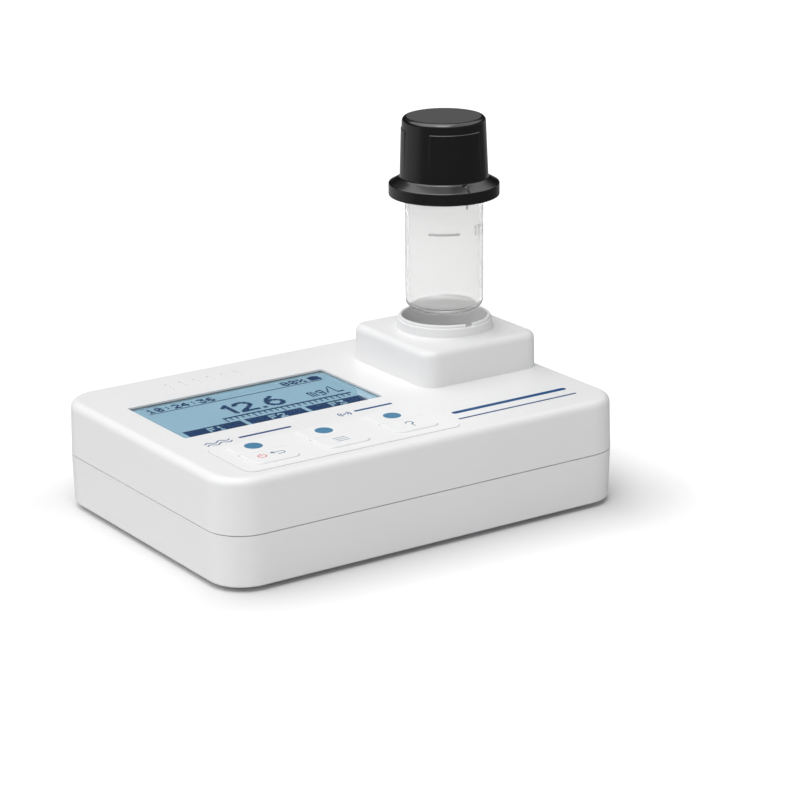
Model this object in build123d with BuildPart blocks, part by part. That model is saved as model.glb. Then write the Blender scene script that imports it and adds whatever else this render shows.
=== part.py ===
from build123d import *
import os
from math import atan, cos, degrees, radians, sin

# Portable photometer: a two-part sealed case with a display, six keys and a raised block
# over the cuvette well. The glass cuvette and its cap are shown lifted just clear of the well.
# Millimetres, +Z up. The origin is on the surface that the feet stand on, under the middle of
# the case. +X runs along the case, and the user sits on the -Y side.

# Case
case_length = 142.5
case_width = 102.5
corner_radius = 11.7
wall = 2.5
foot_height = 1.6
seam_height = 17.5
seam_gap = 0.3
top_height = 34.4
upper_draft_inset = 0.4
lower_draft_inset = 0.4
top_edge_radius = 2.5
bottom_edge_radius = 0.8

# Joint between the two halves of the case
tongue_thickness = 1.1
tongue_height = 1.8
tongue_clearance = 0.2
gasket_height = 1.0
rib_thickness = 1.2

# Raised block and collar round the cuvette well
block_size = 44.2
block_end_margin = 2.55
block_back_margin = 18.45
block_corner_radius = 5.6
block_top = 46.0
block_draft_inset = 0.3
block_edge_radius = 2.4
collar_radius = 15.1
collar_flare = 0.6
ledge_height = 3.5
ledge_edge_radius = 0.4
lip_width = 1.0
lip_height = 0.9
lip_edge = 0.25
mouth_radius = 13.6
notch_angle = -92.0
notch_width = 2.8
notch_flare = 0.8
notch_sink = 0.2
sleeve_bottom = 38.0

# Display
display_end_margin = 11.45
display_block_gap = 14.3
display_front_margin = 42.95
display_back_margin = 24.55
display_corner_radius = 0.8
window_lip = 0.6
window_margin = 2.3
window_thickness = 0.8
window_clearance = 0.1
lcd_thickness = 1.9
lcd_margin = 1.8
lcd_step = 1.0
backlight_margin = 1.0
backlight_thickness = 3.0
frame_wall = 1.5
frame_clearance = 0.2
frame_tab_pitch = 40.0
frame_tab_width = 4.0
frame_tab_height = 1.8

# Keypad: three columns, each with a round-marked key over a key with a symbol
keypad_shift = 1.4
keypad_front_margin = 5.35
keypad_depth = 24.7
keypad_overhang = 4.4
keypad_end_margin = 1.5
keypad_corner_radius = 3.0
keypad_recess = 0.35
overlay_thickness = 0.5
overlay_clearance = 0.15
key_gap = 9.1
soft_key_depth = 8.8
direct_key_depth = 9.6
key_split = 0.6
key_front_margin = 4.3
key_corner_radius = 2.5
key_proud = 0.4
key_edge = 0.3
key_seat_depth = 0.2
key_travel = 0.4
key_end_clearance = 0.15
key_side_clearance = 0.3
key_stem_radius = 2.0
stem_clearance = 0.3
switch_clearance = 0.45

# Sounder behind slots in the top face
sounder_shift = -1.2
sounder_back_margin = 12.85
slot_count = 6
slot_pitch = 5.0
slot_length = 6.0
slot_width = 0.9
membrane_thickness = 0.3
sounder_radius = 5.5
sounder_height = 3.3
sounder_hole_radius = 1.0
sounder_hole_depth = 1.0
membrane_margin = 2.2

# Main board
board_thickness = 1.6
board_drop = 3.9
board_margin = 2.5
board_holder_gap = 6.1
post_clearance = 0.6
boss_edge = 1.0
switch_size = 6.0
switch_body_height = 1.9
switch_plunger_radius = 1.7
switch_plunger_height = 0.5
processor_end_margin = 32.25
processor_front_margin = 20.25
processor_size = 12.0
chip_spread = 0.194
chip_length = 8.0
chip_width = 5.6
chip_gap = 2.0
chip_height = 1.4
capacitor_radius = 2.5
capacitor_height = 2.8
capacitor_pitch = 7.0
radio_end_margin = 20.5
radio_back_margin = 12.65
radio_length = 16.0
radio_width = 11.0
radio_board_thickness = 0.8
radio_edge = 0.6
shield_length = 11.0
shield_height = 1.6

# Screws and posts
post_inset = 10.2
post_radius = 4.0
case_screw_radius = 1.45
case_screw_head_radius = 2.8
case_screw_head_height = 2.0
case_screw_sink = 3.2
case_screw_grip = 9.0
cross_length = 3.1
cross_width = 0.7
cross_depth = 1.2
screw_clearance = 0.05
screw_end_gap = 0.4
small_screw_radius = 1.1
small_screw_head_radius = 2.1
small_screw_head_height = 1.3
small_screw_grip = 3.2
boss_radius = 2.9

# Feet
foot_radius = 5.0
foot_socket_depth = 0.8
foot_end_margin = 9.75
foot_side_margin = 20.25
foot_clearance = 0.15
foot_chamfer = 0.5

# Cuvette holder: an eight-sided block with a light path through each pair of flats
holder_clearance = 0.3
holder_flat = 19.0
holder_floor_top = 9.5
holder_floor = 2.5
flange_thickness = 2.5
flange_gap = 0.4
flange_screw_margin = 3.4
seal_height = 1.0
seal_width = 1.3
optic_height = 18.0
aperture_radius = 1.6
port_radius = 2.8
port_floor = 1.5
optic_clearance = 0.1
filter_thickness = 1.0
led_radius = 2.5
led_length = 3.2
led_tip = 1.0
lens_thickness = 1.4
photodiode_radius = 2.3
photodiode_rim = 0.3
photodiode_rim_height = 0.6
sensor_board_thickness = 1.0
sensor_board_width = 11.0
sensor_board_height = 14.0

# Flat cables to both rings of boards, and their connectors on the main board
cable_thickness = 0.3
cable_width = 8.0
cable_lap = 4.5
cable_sag = 1.1
cable_bend = 0.6
connector_height = 1.8
connector_length = 4.0
connector_margin = 1.5
connector_edge = 0.5
emitter_connector_width = 3.0
emitter_cable_reach = 7.0
emitter_cable_lap = 12.0
emitter_cable_bend = 6.0

# Battery bay and its door
bay_end_margin = 45.25
cell_radius = 7.25
cell_length = 50.5
cell_nub_radius = 2.6
cell_nub_height = 1.2
cell_edge = 0.6
cell_pitch = 14.9
cell_count = 3
cell_clearance = 0.3
contact_thickness = 0.4
contact_size = 10.0
spring_space = 4.6
spring_width = 6.0
spring_height = 4.3
spring_tip = 0.8
spring_bend = 0.6
lead_radius = 0.8
lead_drop = 4.0
lead_reach = 3.0
lead_bend = 2.4
bay_wall = 1.6
bay_head_room = 0.5
saddle_rise = 3.3
door_sink = 0.2
door_thickness = 2.0
door_ledge = 3.6
door_tab = 9.4
door_corner_radius = 6.0
door_edge = 0.3
door_rib_margin = 1.0
door_clearance = 0.3
door_gasket_height = 1.0
door_gasket_width = 1.4
door_gasket_margin = 0.8
door_screw_radius = 1.5
door_screw_head_radius = 3.2
door_screw_head_height = 1.0
coin_slot_width = 1.4
coin_slot_depth = 0.6
door_screw_grip = 5.8
door_screw_inset = 4.4
door_boss_radius = 3.4
door_boss_roof = 1.0
door_pad_radius = 2.6
running_clearance = 0.08

# Cuvette and cap
glass_radius = 12.3
glass_wall = 1.1
glass_floor = 1.7
glass_base_radius = 3.5
glass_inner_base_radius = 1.8
glass_lift = 2.0
neck_radius = 10.0
neck_wall = 1.4
neck_height = 8.0
shoulder_height = 1.8
shoulder_radius = 1.0
shoulder_drop = 0.8
cap_gap = 0.5
cap_over_shoulder = 0.8
flange_radius = 17.4
flange_side = 3.8
flange_slope = 1.9
flange_edge = 0.3
cap_base_radius = 13.9
cap_top_radius = 13.05
cap_height = 24.8
cap_edge_radius = 1.4
cap_root_radius = 0.8
cap_bore_clearance = 0.35
cap_top_thickness = 2.2
collar_pocket_clearance = 0.4
collar_pocket_edge = 0.8
bore_slope = 1.5
bore_ledge = 0.8
grip_count = 3
grip_angle = 76.0
grip_proud = 0.3
grip_top_margin = 3.6
grip_bottom_margin = 1.0
grip_start = -107.0
grip_root = 0.02
index_angle = -98.0
index_notch = 1.6
index_reach = 0.6
index_root = 0.4
stopper_head = 1.6
stopper_depth = 6.0
stopper_clearance = 0.1
stopper_tip = 0.8
stopper_edge = 0.3

# Levels and spans that follow from the sizes above
bottom_z = foot_height
lower_top = seam_height - seam_gap / 2
upper_bottom = seam_height + seam_gap / 2
floor_z = bottom_z + wall
ceiling_z = top_height - wall
board_top = ceiling_z - board_drop
board_bottom = board_top - board_thickness
half_length = case_length / 2
half_width = case_width / 2
foot_x = half_length - foot_end_margin
foot_y = half_width - foot_side_margin
post_x = half_length - post_inset
post_y = half_width - post_inset
post_places = [(sx * post_x, sy * post_y) for sx in (-1, 1) for sy in (-1, 1)]
upper_draft = degrees(atan(upper_draft_inset / (top_height - upper_bottom)))
lower_draft = degrees(atan(lower_draft_inset / (lower_top - bottom_z)))

tongue_top = seam_height + tongue_height
gasket_top = tongue_top + gasket_height
groove_width = tongue_thickness + tongue_clearance

well_x = half_length - block_end_margin - block_size / 2
well_y = half_width - block_back_margin - block_size / 2
block_left = well_x - block_size / 2
display_length = block_left - display_block_gap - display_end_margin + half_length
display_width = case_width - display_front_margin - display_back_margin
display_x = display_end_margin + display_length / 2 - half_length
display_y = display_front_margin + display_width / 2 - half_width

keypad_length = display_length + keypad_overhang
keypad_x = display_x + keypad_shift
keypad_front = keypad_front_margin - half_width
keypad_back = keypad_front + keypad_depth
key_pitch = (keypad_length - keypad_end_margin) / 3
key_width = key_pitch - key_gap
key_columns = [keypad_x + step * key_pitch for step in (-1, 0, 1)]
column_depth = soft_key_depth + direct_key_depth + key_split
column_y = keypad_front + key_front_margin + column_depth / 2
direct_key_y = keypad_front + key_front_margin + direct_key_depth / 2
soft_key_y = keypad_front + key_front_margin + column_depth - soft_key_depth / 2
keypad_y = (keypad_front + keypad_back) / 2
recess_floor = top_height - keypad_recess
overlay_top = recess_floor + overlay_thickness
key_bottom = recess_floor - key_seat_depth
pocket_floor = key_bottom - key_travel - key_end_clearance
switch_top = board_top + switch_body_height + switch_plunger_height
key_places = [(x, y) for x in key_columns for y in (direct_key_y, soft_key_y)]

window_top = top_height - window_lip
window_bottom = window_top - window_thickness
window_length = display_length + 2 * window_margin
window_width = display_width + 2 * window_margin
lcd_length = display_length + 2 * lcd_margin
lcd_width = display_width + 2 * lcd_margin
lcd_bottom = board_top + backlight_thickness

board_left = -(half_length - wall - board_margin)
board_right = well_x - holder_flat - board_holder_gap
board_half_width = half_width - wall - board_margin
processor_x = board_left + processor_end_margin
processor_y = processor_front_margin - board_half_width
chip_pitch = chip_spread * (board_right - board_left)
sounder_x = display_x + sounder_shift
sounder_y = half_width - sounder_back_margin
radio_x = board_right - radio_end_margin
radio_y = half_width - radio_back_margin
board_notch = post_inset - wall - board_margin + post_radius + post_clearance
board_screw_inset = boss_radius + boss_edge
board_screw_places = [
    (board_left + board_screw_inset, (keypad_back + display_y - display_width / 2) / 2),
    (board_right - board_screw_inset, (keypad_back + display_y - display_width / 2) / 2),
    (board_left + board_notch + board_screw_inset, board_half_width - board_screw_inset),
    (board_right - board_screw_inset, board_half_width - board_screw_inset),
]

ledge_top = block_top + ledge_height
lip_top = ledge_top + lip_height
lip_radius = mouth_radius + lip_width
holder_bore = glass_radius + holder_clearance
flange_top = sleeve_bottom - seal_height
flange_bottom = flange_top - flange_thickness
flange_size = block_size - 2 * wall - 2 * flange_gap
flange_screw_offset = flange_size / 2 - flange_screw_margin
flange_screws = [
    (well_x + sx * flange_screw_offset, well_y + sy * flange_screw_offset)
    for sx in (-1, 1)
    for sy in (-1, 1)
]
source_angles = (0, 45, 90, 135)
detector_angles = (180, 225, 270, 315)
port_start = holder_bore + port_floor
connector_x = board_right - connector_length / 2 - connector_edge
emitter_face = well_y + holder_flat + sensor_board_thickness
emitter_connector_y = emitter_face + emitter_connector_width / 2 + connector_edge
emitter_cable_bottom = optic_height - cable_width / 2

bay_x = bay_end_margin - half_length
bay_length = cell_length + spring_space + 2 * contact_thickness
bay_width = (cell_count - 1) * cell_pitch + 2 * (cell_radius + cell_clearance)
door_plate_bottom = bottom_z + door_sink
door_plate_top = door_plate_bottom + door_thickness
ledge_z = door_plate_top + door_gasket_height
cell_z = ledge_z + 2 * cell_clearance + cell_radius
bay_ceiling = cell_z + cell_radius + bay_head_room
cell_xs = [bay_x + (n - (cell_count - 1) / 2) * cell_pitch for n in range(cell_count)]
door_length = bay_length + 2 * door_tab
door_width = bay_width + 2 * door_ledge
door_screw_y = door_length / 2 - door_screw_inset
door_screw_places = [(bay_x, -door_screw_y), (bay_x, door_screw_y)]

glass_base = lip_top + glass_lift
cap_bottom_seated = block_top + cap_gap
cuvette_travel = glass_base - holder_floor_top - running_clearance
cap_bottom = cap_bottom_seated + cuvette_travel
shoulder_bottom = cap_bottom + cap_over_shoulder
neck_bottom = shoulder_bottom + shoulder_height
glass_top = neck_bottom + neck_height
cap_top = cap_bottom + cap_height

# How far a boss or rib runs into the wall that carries it, and a cut past the face that it opens
root = 0.5
past = 1.0


def well_plane(height):
    """Horizontal plane centred on the axis of the cuvette well."""
    return Plane(origin=(well_x, well_y, height))


def port_plane(angle, distance):
    """Upright plane that faces outwards from the well axis, at the height of the light paths."""
    ux, uy = cos(radians(angle)), sin(radians(angle))
    return Plane(
        origin=(well_x + distance * ux, well_y + distance * uy, optic_height),
        x_dir=(-uy, ux, 0),
        z_dir=(ux, uy, 0),
    )


def well_section(turn):
    """Upright plane through the well axis, turned about it: local X runs outwards, local Y up."""
    ux, uy = cos(radians(turn)), sin(radians(turn))
    return Plane(origin=(well_x, well_y, 0), x_dir=(ux, uy, 0), z_dir=(uy, -ux, 0))


def notch_plane(turn, height):
    """Horizontal plane on the well axis, with local X at an angle about that axis."""
    ux, uy = cos(radians(turn)), sin(radians(turn))
    return Plane(origin=(well_x, well_y, height), x_dir=(ux, uy, 0), z_dir=(0, 0, 1))


well_axis = Axis((well_x, well_y, 0), (0, 0, 1))


def save(piece, name):
    """Labels a finished piece and writes it to its own file."""
    piece.part.label = name
    export_step(piece.part, f"parts/{name}.step")


os.makedirs("parts", exist_ok=True)


# Upper half of the case: drafted walls, rounded top edge, raised block, collar and openings
with BuildPart() as upper_shell:
    with BuildSketch(Plane.XY.offset(upper_bottom)):
        RectangleRounded(case_length, case_width, corner_radius)
    extrude(amount=top_height - upper_bottom, taper=upper_draft)
    fillet(upper_shell.faces().sort_by(Axis.Z)[-1].edges(), top_edge_radius)
    # The block rises from the top face over the well
    with BuildSketch(well_plane(ceiling_z)):
        RectangleRounded(block_size, block_size, block_corner_radius)
    extrude(
        amount=block_top - ceiling_z,
        taper=degrees(atan(block_draft_inset / (block_top - ceiling_z))),
    )
    fillet(upper_shell.faces().sort_by(Axis.Z)[-1].edges(), block_edge_radius)
    # Hollow inside of the case and of the block
    with BuildSketch(Plane.XY.offset(upper_bottom)):
        RectangleRounded(case_length - 2 * wall, case_width - 2 * wall, corner_radius - wall)
    extrude(amount=ceiling_z - upper_bottom, taper=upper_draft, mode=Mode.SUBTRACT)
    with BuildSketch(well_plane(upper_bottom)):
        block_inside = block_size - 2 * wall
        RectangleRounded(block_inside, block_inside, block_corner_radius - wall)
    extrude(amount=block_top - wall - upper_bottom, mode=Mode.SUBTRACT)
    # Groove round the rim that takes the tongue and the gasket
    with BuildSketch(Plane.XY.offset(upper_bottom)):
        groove_inset = 2 * (wall - groove_width)
        groove_radius = corner_radius - (wall - groove_width)
        RectangleRounded(case_length - groove_inset, case_width - groove_inset, groove_radius)
    extrude(amount=gasket_top - upper_bottom, mode=Mode.SUBTRACT)
    # Collar with its thin lip, and the sleeve below it
    with BuildSketch(well_section(0)):
        with BuildLine():
            ledge = FilletPolyline(
                (collar_radius, block_top + collar_flare),
                (collar_radius, ledge_top),
                (lip_radius, ledge_top),
                radius=ledge_edge_radius,
            )
            Polyline(
                ledge @ 1,
                (lip_radius, lip_top - lip_edge),
                (lip_radius - lip_edge, lip_top),
                (mouth_radius + lip_edge, lip_top),
                (mouth_radius, lip_top - lip_edge),
                (mouth_radius, sleeve_bottom),
                (collar_radius, sleeve_bottom),
                (collar_radius, block_top - root),
                (collar_radius + collar_flare, block_top - root),
                (collar_radius + collar_flare, block_top),
                ledge @ 0,
            )
        make_face()
    revolve(axis=well_axis)
    with BuildSketch(well_plane(sleeve_bottom)):
        Circle(mouth_radius)
    extrude(amount=lip_top - sleeve_bottom, mode=Mode.SUBTRACT)
    # Index notch in the lip, on the user's side
    with BuildSketch(notch_plane(notch_angle, ledge_top - notch_sink)):
        with Locations((mouth_radius, 0)):
            Trapezoid(notch_width + notch_flare, 4 * lip_width, 75, rotation=90)
    extrude(amount=lip_height + past, mode=Mode.SUBTRACT)
    # Display opening, with the seat for the window on the inside
    with BuildSketch(Plane.XY.offset(window_bottom)):
        with Locations((display_x, display_y)):
            RectangleRounded(display_length, display_width, display_corner_radius)
    extrude(amount=top_height - window_bottom + past, mode=Mode.SUBTRACT)
    with BuildSketch(Plane.XY.offset(ceiling_z)):
        with Locations((display_x, display_y)):
            Rectangle(window_length + 2 * window_clearance, window_width + 2 * window_clearance)
    extrude(amount=window_top - ceiling_z, mode=Mode.SUBTRACT)
    # Shallow seat of the keypad overlay, a pocket under each column of keys, and stem holes
    with BuildSketch(Plane.XY.offset(recess_floor)):
        with Locations((keypad_x, keypad_y)):
            RectangleRounded(
                keypad_length + 2 * overlay_clearance,
                keypad_depth + 2 * overlay_clearance,
                keypad_corner_radius + overlay_clearance,
            )
    extrude(amount=keypad_recess + past, mode=Mode.SUBTRACT)
    with BuildSketch(Plane.XY.offset(pocket_floor)):
        with Locations([(x, column_y) for x in key_columns]):
            RectangleRounded(
                key_width + 2 * key_side_clearance,
                column_depth + 2 * key_side_clearance,
                key_corner_radius + key_side_clearance,
            )
    extrude(amount=top_height - pocket_floor, mode=Mode.SUBTRACT)
    with BuildSketch(Plane.XY.offset(ceiling_z - past)):
        with Locations(key_places):
            Circle(key_stem_radius + stem_clearance)
    extrude(amount=top_height - ceiling_z + past, mode=Mode.SUBTRACT)
    # Slots over the sounder
    with BuildSketch(Plane.XY.offset(ceiling_z - past)):
        with Locations((sounder_x, sounder_y)):
            with GridLocations(slot_pitch, 1, slot_count, 1):
                SlotOverall(slot_length, slot_width, rotation=90)
    extrude(amount=wall + 2 * past, mode=Mode.SUBTRACT)
    # Posts for the case screws, bosses for the board and for the cuvette holder
    with BuildSketch(Plane.XY.offset(seam_height)):
        with Locations(post_places):
            Circle(post_radius)
    extrude(amount=ceiling_z - seam_height + root)
    with BuildSketch(Plane.XY.offset(board_top)):
        with Locations(board_screw_places):
            Circle(boss_radius)
    extrude(amount=board_drop + root)
    with BuildSketch(Plane.XY.offset(flange_top)):
        with Locations(flange_screws):
            Circle(boss_radius)
    extrude(amount=block_top - wall - flange_top + root)
    # Webs that tie the corner posts to the long walls
    with BuildSketch(Plane.XY.offset(gasket_top)):
        for px, py in post_places:
            web = half_width - wall - post_y
            with Locations((px, py + (web / 2 if py > 0 else -web / 2))):
                Rectangle(rib_thickness, web + 2 * root)
    extrude(amount=ceiling_z - gasket_top + root)
    # Pilot holes
    with BuildSketch(Plane.XY.offset(seam_height)):
        with Locations(post_places):
            Circle(case_screw_radius + screw_clearance)
    extrude(amount=case_screw_grip + screw_end_gap, mode=Mode.SUBTRACT)
    with BuildSketch(Plane.XY.offset(board_top)):
        with Locations(board_screw_places):
            Circle(small_screw_radius + screw_clearance)
    extrude(amount=small_screw_grip + screw_end_gap, mode=Mode.SUBTRACT)
    with BuildSketch(Plane.XY.offset(flange_top)):
        with Locations(flange_screws):
            Circle(small_screw_radius + screw_clearance)
    extrude(amount=small_screw_grip + screw_end_gap, mode=Mode.SUBTRACT)
save(upper_shell, "upper_shell")


# Lower half of the case: floor, tongue round the rim, battery bay, posts and foot sockets
with BuildPart() as lower_shell:
    with BuildSketch(Plane(origin=(0, 0, lower_top), z_dir=(0, 0, -1))):
        RectangleRounded(case_length, case_width, corner_radius)
    extrude(amount=lower_top - bottom_z, taper=lower_draft)
    fillet(lower_shell.faces().sort_by(Axis.Z)[0].edges(), bottom_edge_radius)
    with BuildSketch(Plane(origin=(0, 0, lower_top), z_dir=(0, 0, -1))):
        RectangleRounded(case_length - 2 * wall, case_width - 2 * wall, corner_radius - wall)
    extrude(amount=lower_top - floor_z, taper=lower_draft, mode=Mode.SUBTRACT)
    # Tongue that enters the groove of the upper half
    with BuildSketch(Plane.XY.offset(lower_top)):
        tongue_inset = 2 * (wall - tongue_thickness)
        tongue_radius = corner_radius - (wall - tongue_thickness)
        RectangleRounded(case_length - tongue_inset, case_width - tongue_inset, tongue_radius)
        RectangleRounded(
            case_length - 2 * wall, case_width - 2 * wall, corner_radius - wall, mode=Mode.SUBTRACT
        )
    extrude(amount=tongue_top - lower_top)
    # Battery bay: a thicker rim round the door, and the box that holds the cells
    with BuildSketch(Plane.XY.offset(bottom_z + root)):
        with Locations((bay_x, 0)):
            RectangleRounded(
                door_width + 2 * bay_wall, door_length + 2 * bay_wall, door_corner_radius + bay_wall
            )
    extrude(amount=ledge_z + bay_wall - bottom_z - root)
    with BuildSketch(Plane.XY.offset(floor_z)):
        with Locations((bay_x, 0)):
            Rectangle(bay_width + 2 * bay_wall, bay_length + 2 * bay_wall)
    extrude(amount=bay_ceiling + bay_wall - floor_z)
    with BuildSketch(Plane.XY.offset(bottom_z - past)):
        with Locations((bay_x, 0)):
            RectangleRounded(
                door_width + 2 * door_clearance,
                door_length + 2 * door_clearance,
                door_corner_radius + door_clearance,
            )
    extrude(amount=ledge_z - bottom_z + past, mode=Mode.SUBTRACT)
    with BuildSketch(Plane.XY.offset(ledge_z - root)):
        with Locations((bay_x, 0)):
            Rectangle(bay_width, bay_length)
    extrude(amount=bay_ceiling - ledge_z + root, mode=Mode.SUBTRACT)
    # Saddles that hold the cells from above
    saddle_bottom = cell_z + saddle_rise
    with BuildSketch(Plane.XY.offset(saddle_bottom)):
        with Locations((bay_x, -cell_length / 4), (bay_x, cell_length / 4)):
            Rectangle(bay_width + root, rib_thickness)
    extrude(amount=bay_ceiling - saddle_bottom + root)
    with BuildSketch(Plane.XZ.offset(-cell_length / 2)):
        with Locations([(x, cell_z) for x in cell_xs]):
            Circle(cell_radius + cell_clearance)
    extrude(amount=cell_length, mode=Mode.SUBTRACT)
    # Bosses for the door screws, posts for the case screws
    with BuildSketch(Plane.XY.offset(ledge_z)):
        with Locations(door_screw_places):
            Circle(door_boss_radius)
    extrude(amount=door_screw_grip + screw_end_gap + door_boss_roof)
    with BuildSketch(Plane.XY.offset(floor_z - root)):
        with Locations(post_places):
            Circle(post_radius)
    extrude(amount=seam_height - floor_z + root)
    # Ribs across the floor under the cuvette holder
    with BuildSketch(Plane.XY.offset(floor_z - root)):
        with Locations((well_x, well_y), (well_x, well_y - holder_flat), (well_x, well_y + holder_flat)):
            Rectangle(2 * holder_flat, rib_thickness)
    extrude(amount=holder_floor_top - holder_floor - holder_clearance - floor_z + root)
    # Screw holes, with sunk heads under the case
    with BuildSketch(Plane.XY.offset(bottom_z - past)):
        with Locations(post_places):
            Circle(case_screw_radius + screw_clearance)
    extrude(amount=seam_height - bottom_z + 2 * past, mode=Mode.SUBTRACT)
    with BuildSketch(Plane.XY.offset(bottom_z - past)):
        with Locations(post_places):
            Circle(case_screw_head_radius + screw_clearance)
    extrude(amount=case_screw_sink + past, mode=Mode.SUBTRACT)
    with BuildSketch(Plane.XY.offset(ledge_z - past)):
        with Locations(door_screw_places):
            Circle(door_screw_radius + running_clearance)
    extrude(amount=door_screw_grip + screw_end_gap + past, mode=Mode.SUBTRACT)
    # Shallow sockets for the feet
    with BuildSketch(Plane.XY.offset(bottom_z - past)):
        with GridLocations(2 * foot_x, 2 * foot_y, 2, 2):
            Circle(foot_radius + foot_clearance)
    extrude(amount=foot_socket_depth + past, mode=Mode.SUBTRACT)
save(lower_shell, "lower_shell")


# Seal in the groove, pressed between the tongue and the upper half
with BuildPart() as case_gasket:
    with BuildSketch(Plane.XY.offset(tongue_top)):
        gasket_outer = 2 * (wall - tongue_thickness)
        gasket_radius = corner_radius - (wall - tongue_thickness)
        RectangleRounded(case_length - gasket_outer, case_width - gasket_outer, gasket_radius)
        gasket_inner = gasket_outer + 2 * tongue_thickness
        RectangleRounded(
            case_length - gasket_inner,
            case_width - gasket_inner,
            gasket_radius - tongue_thickness,
            mode=Mode.SUBTRACT,
        )
    extrude(amount=gasket_height)
save(case_gasket, "case_gasket")


# Case screws, put in from below
with BuildPart() as case_screws:
    case_screw_seat = bottom_z + case_screw_sink
    with BuildSketch(Plane.XY.offset(case_screw_seat - case_screw_head_height)):
        with Locations(post_places):
            Circle(case_screw_head_radius)
    extrude(amount=case_screw_head_height)
    with BuildSketch(Plane.XY.offset(case_screw_seat)):
        with Locations(post_places):
            Circle(case_screw_radius)
    extrude(amount=seam_height + case_screw_grip - case_screw_seat)
    # Cross recess in each head
    with BuildSketch(Plane.XY.offset(case_screw_seat - case_screw_head_height)):
        with Locations(post_places):
            Rectangle(cross_length, cross_width)
            Rectangle(cross_width, cross_length)
    extrude(amount=cross_depth, mode=Mode.SUBTRACT)
save(case_screws, "case_screws")


# Four rubber feet
with BuildPart() as rubber_feet:
    with BuildSketch(Plane.XY):
        with GridLocations(2 * foot_x, 2 * foot_y, 2, 2):
            Circle(foot_radius)
    extrude(amount=foot_height + foot_socket_depth)
    chamfer(rubber_feet.edges().group_by(Axis.Z)[0], foot_chamfer)
save(rubber_feet, "rubber_feet")


# Printed film round the keys
with BuildPart() as keypad_overlay:
    with BuildSketch(Plane.XY.offset(recess_floor)):
        with Locations((keypad_x, keypad_y)):
            RectangleRounded(keypad_length, keypad_depth, keypad_corner_radius)
        with Locations([(x, column_y) for x in key_columns]):
            RectangleRounded(
                key_width + 2 * key_side_clearance,
                column_depth + 2 * key_side_clearance,
                key_corner_radius + key_side_clearance,
                mode=Mode.SUBTRACT,
            )
    extrude(amount=overlay_thickness)
save(keypad_overlay, "keypad_overlay")


def make_key(name, x, y, depth):
    """A soft-edged key with a stem that reaches down to its switch."""
    with BuildPart() as key:
        with BuildSketch(Plane.XY.offset(key_bottom)):
            with Locations((x, y)):
                RectangleRounded(key_width, depth, key_corner_radius)
        extrude(amount=overlay_top + key_proud - key_bottom)
        chamfer(key.faces().sort_by(Axis.Z)[-1].edges(), key_edge)
        with BuildSketch(Plane.XY.offset(switch_top + switch_clearance)):
            with Locations((x, y)):
                Circle(key_stem_radius)
        extrude(amount=key_bottom - switch_top - switch_clearance)
    save(key, name)


for number, x in enumerate(key_columns):
    make_key(f"soft_key_{number + 1}", x, soft_key_y, soft_key_depth)
for name, x in zip(("power_key", "menu_key", "help_key"), key_columns):
    make_key(name, x, direct_key_y, direct_key_depth)


# Clear window, bonded under the rim of the display opening
with BuildPart() as display_window:
    with BuildSketch(Plane.XY.offset(window_bottom)):
        with Locations((display_x, display_y)):
            Rectangle(window_length, window_width)
    extrude(amount=window_thickness)
save(display_window, "display_window")


# Display glass, its backlight, and the frame that holds both over the board
with BuildPart() as lcd_glass:
    with BuildSketch(Plane.XY.offset(lcd_bottom)):
        with Locations((display_x, display_y)):
            Rectangle(lcd_length, lcd_width)
    extrude(amount=lcd_thickness / 2)
    with BuildSketch(Plane.XY.offset(lcd_bottom + lcd_thickness / 2)):
        with Locations((display_x, display_y + lcd_step / 2)):
            Rectangle(lcd_length, lcd_width - lcd_step)
    extrude(amount=lcd_thickness / 2)
save(lcd_glass, "lcd_glass")

with BuildPart() as lcd_backlight:
    with BuildSketch(Plane.XY.offset(board_top)):
        with Locations((display_x, display_y)):
            Rectangle(lcd_length - 2 * backlight_margin, lcd_width - 2 * backlight_margin)
    extrude(amount=backlight_thickness)
save(lcd_backlight, "lcd_backlight")

with BuildPart() as display_frame:
    frame_inner_length = lcd_length + 2 * frame_clearance
    frame_inner_width = lcd_width + 2 * frame_clearance
    with BuildSketch(Plane.XY.offset(board_top)):
        with Locations((display_x, display_y)):
            Rectangle(frame_inner_length + 2 * frame_wall, frame_inner_width + 2 * frame_wall)
            Rectangle(frame_inner_length, frame_inner_width, mode=Mode.SUBTRACT)
    extrude(amount=board_drop - window_clearance)
    # Tabs that centre the backlight
    with BuildSketch(Plane.XY.offset(board_top)):
        tab = backlight_margin + frame_clearance
        with Locations((display_x, display_y)):
            with GridLocations(frame_tab_pitch, frame_inner_width - tab, 2, 2):
                Rectangle(frame_tab_width, tab)
            with GridLocations(frame_inner_length - tab, frame_tab_pitch / 2, 2, 2):
                Rectangle(tab, frame_tab_width)
    extrude(amount=frame_tab_height)
save(display_frame, "display_frame")


# Main board with its notches, fixed under the bosses of the upper half
with BuildPart() as main_board:
    with BuildSketch(Plane.XY.offset(board_bottom)):
        with Locations(((board_left + board_right) / 2, 0)):
            Rectangle(board_right - board_left, 2 * board_half_width)
        with Locations(
            (board_left + board_notch / 2, board_half_width - board_notch / 2),
            (board_left + board_notch / 2, -board_half_width + board_notch / 2),
        ):
            Rectangle(board_notch, board_notch, mode=Mode.SUBTRACT)
        with Locations(board_screw_places):
            Circle(small_screw_radius + screw_clearance, mode=Mode.SUBTRACT)
    extrude(amount=board_thickness)
save(main_board, "main_board")

with BuildPart() as board_screws:
    with BuildSketch(Plane.XY.offset(board_bottom - small_screw_head_height)):
        with Locations(board_screw_places):
            Circle(small_screw_head_radius)
    extrude(amount=small_screw_head_height)
    with BuildSketch(Plane.XY.offset(board_bottom)):
        with Locations(board_screw_places):
            Circle(small_screw_radius)
    extrude(amount=board_thickness + small_screw_grip)
save(board_screws, "board_screws")

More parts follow.
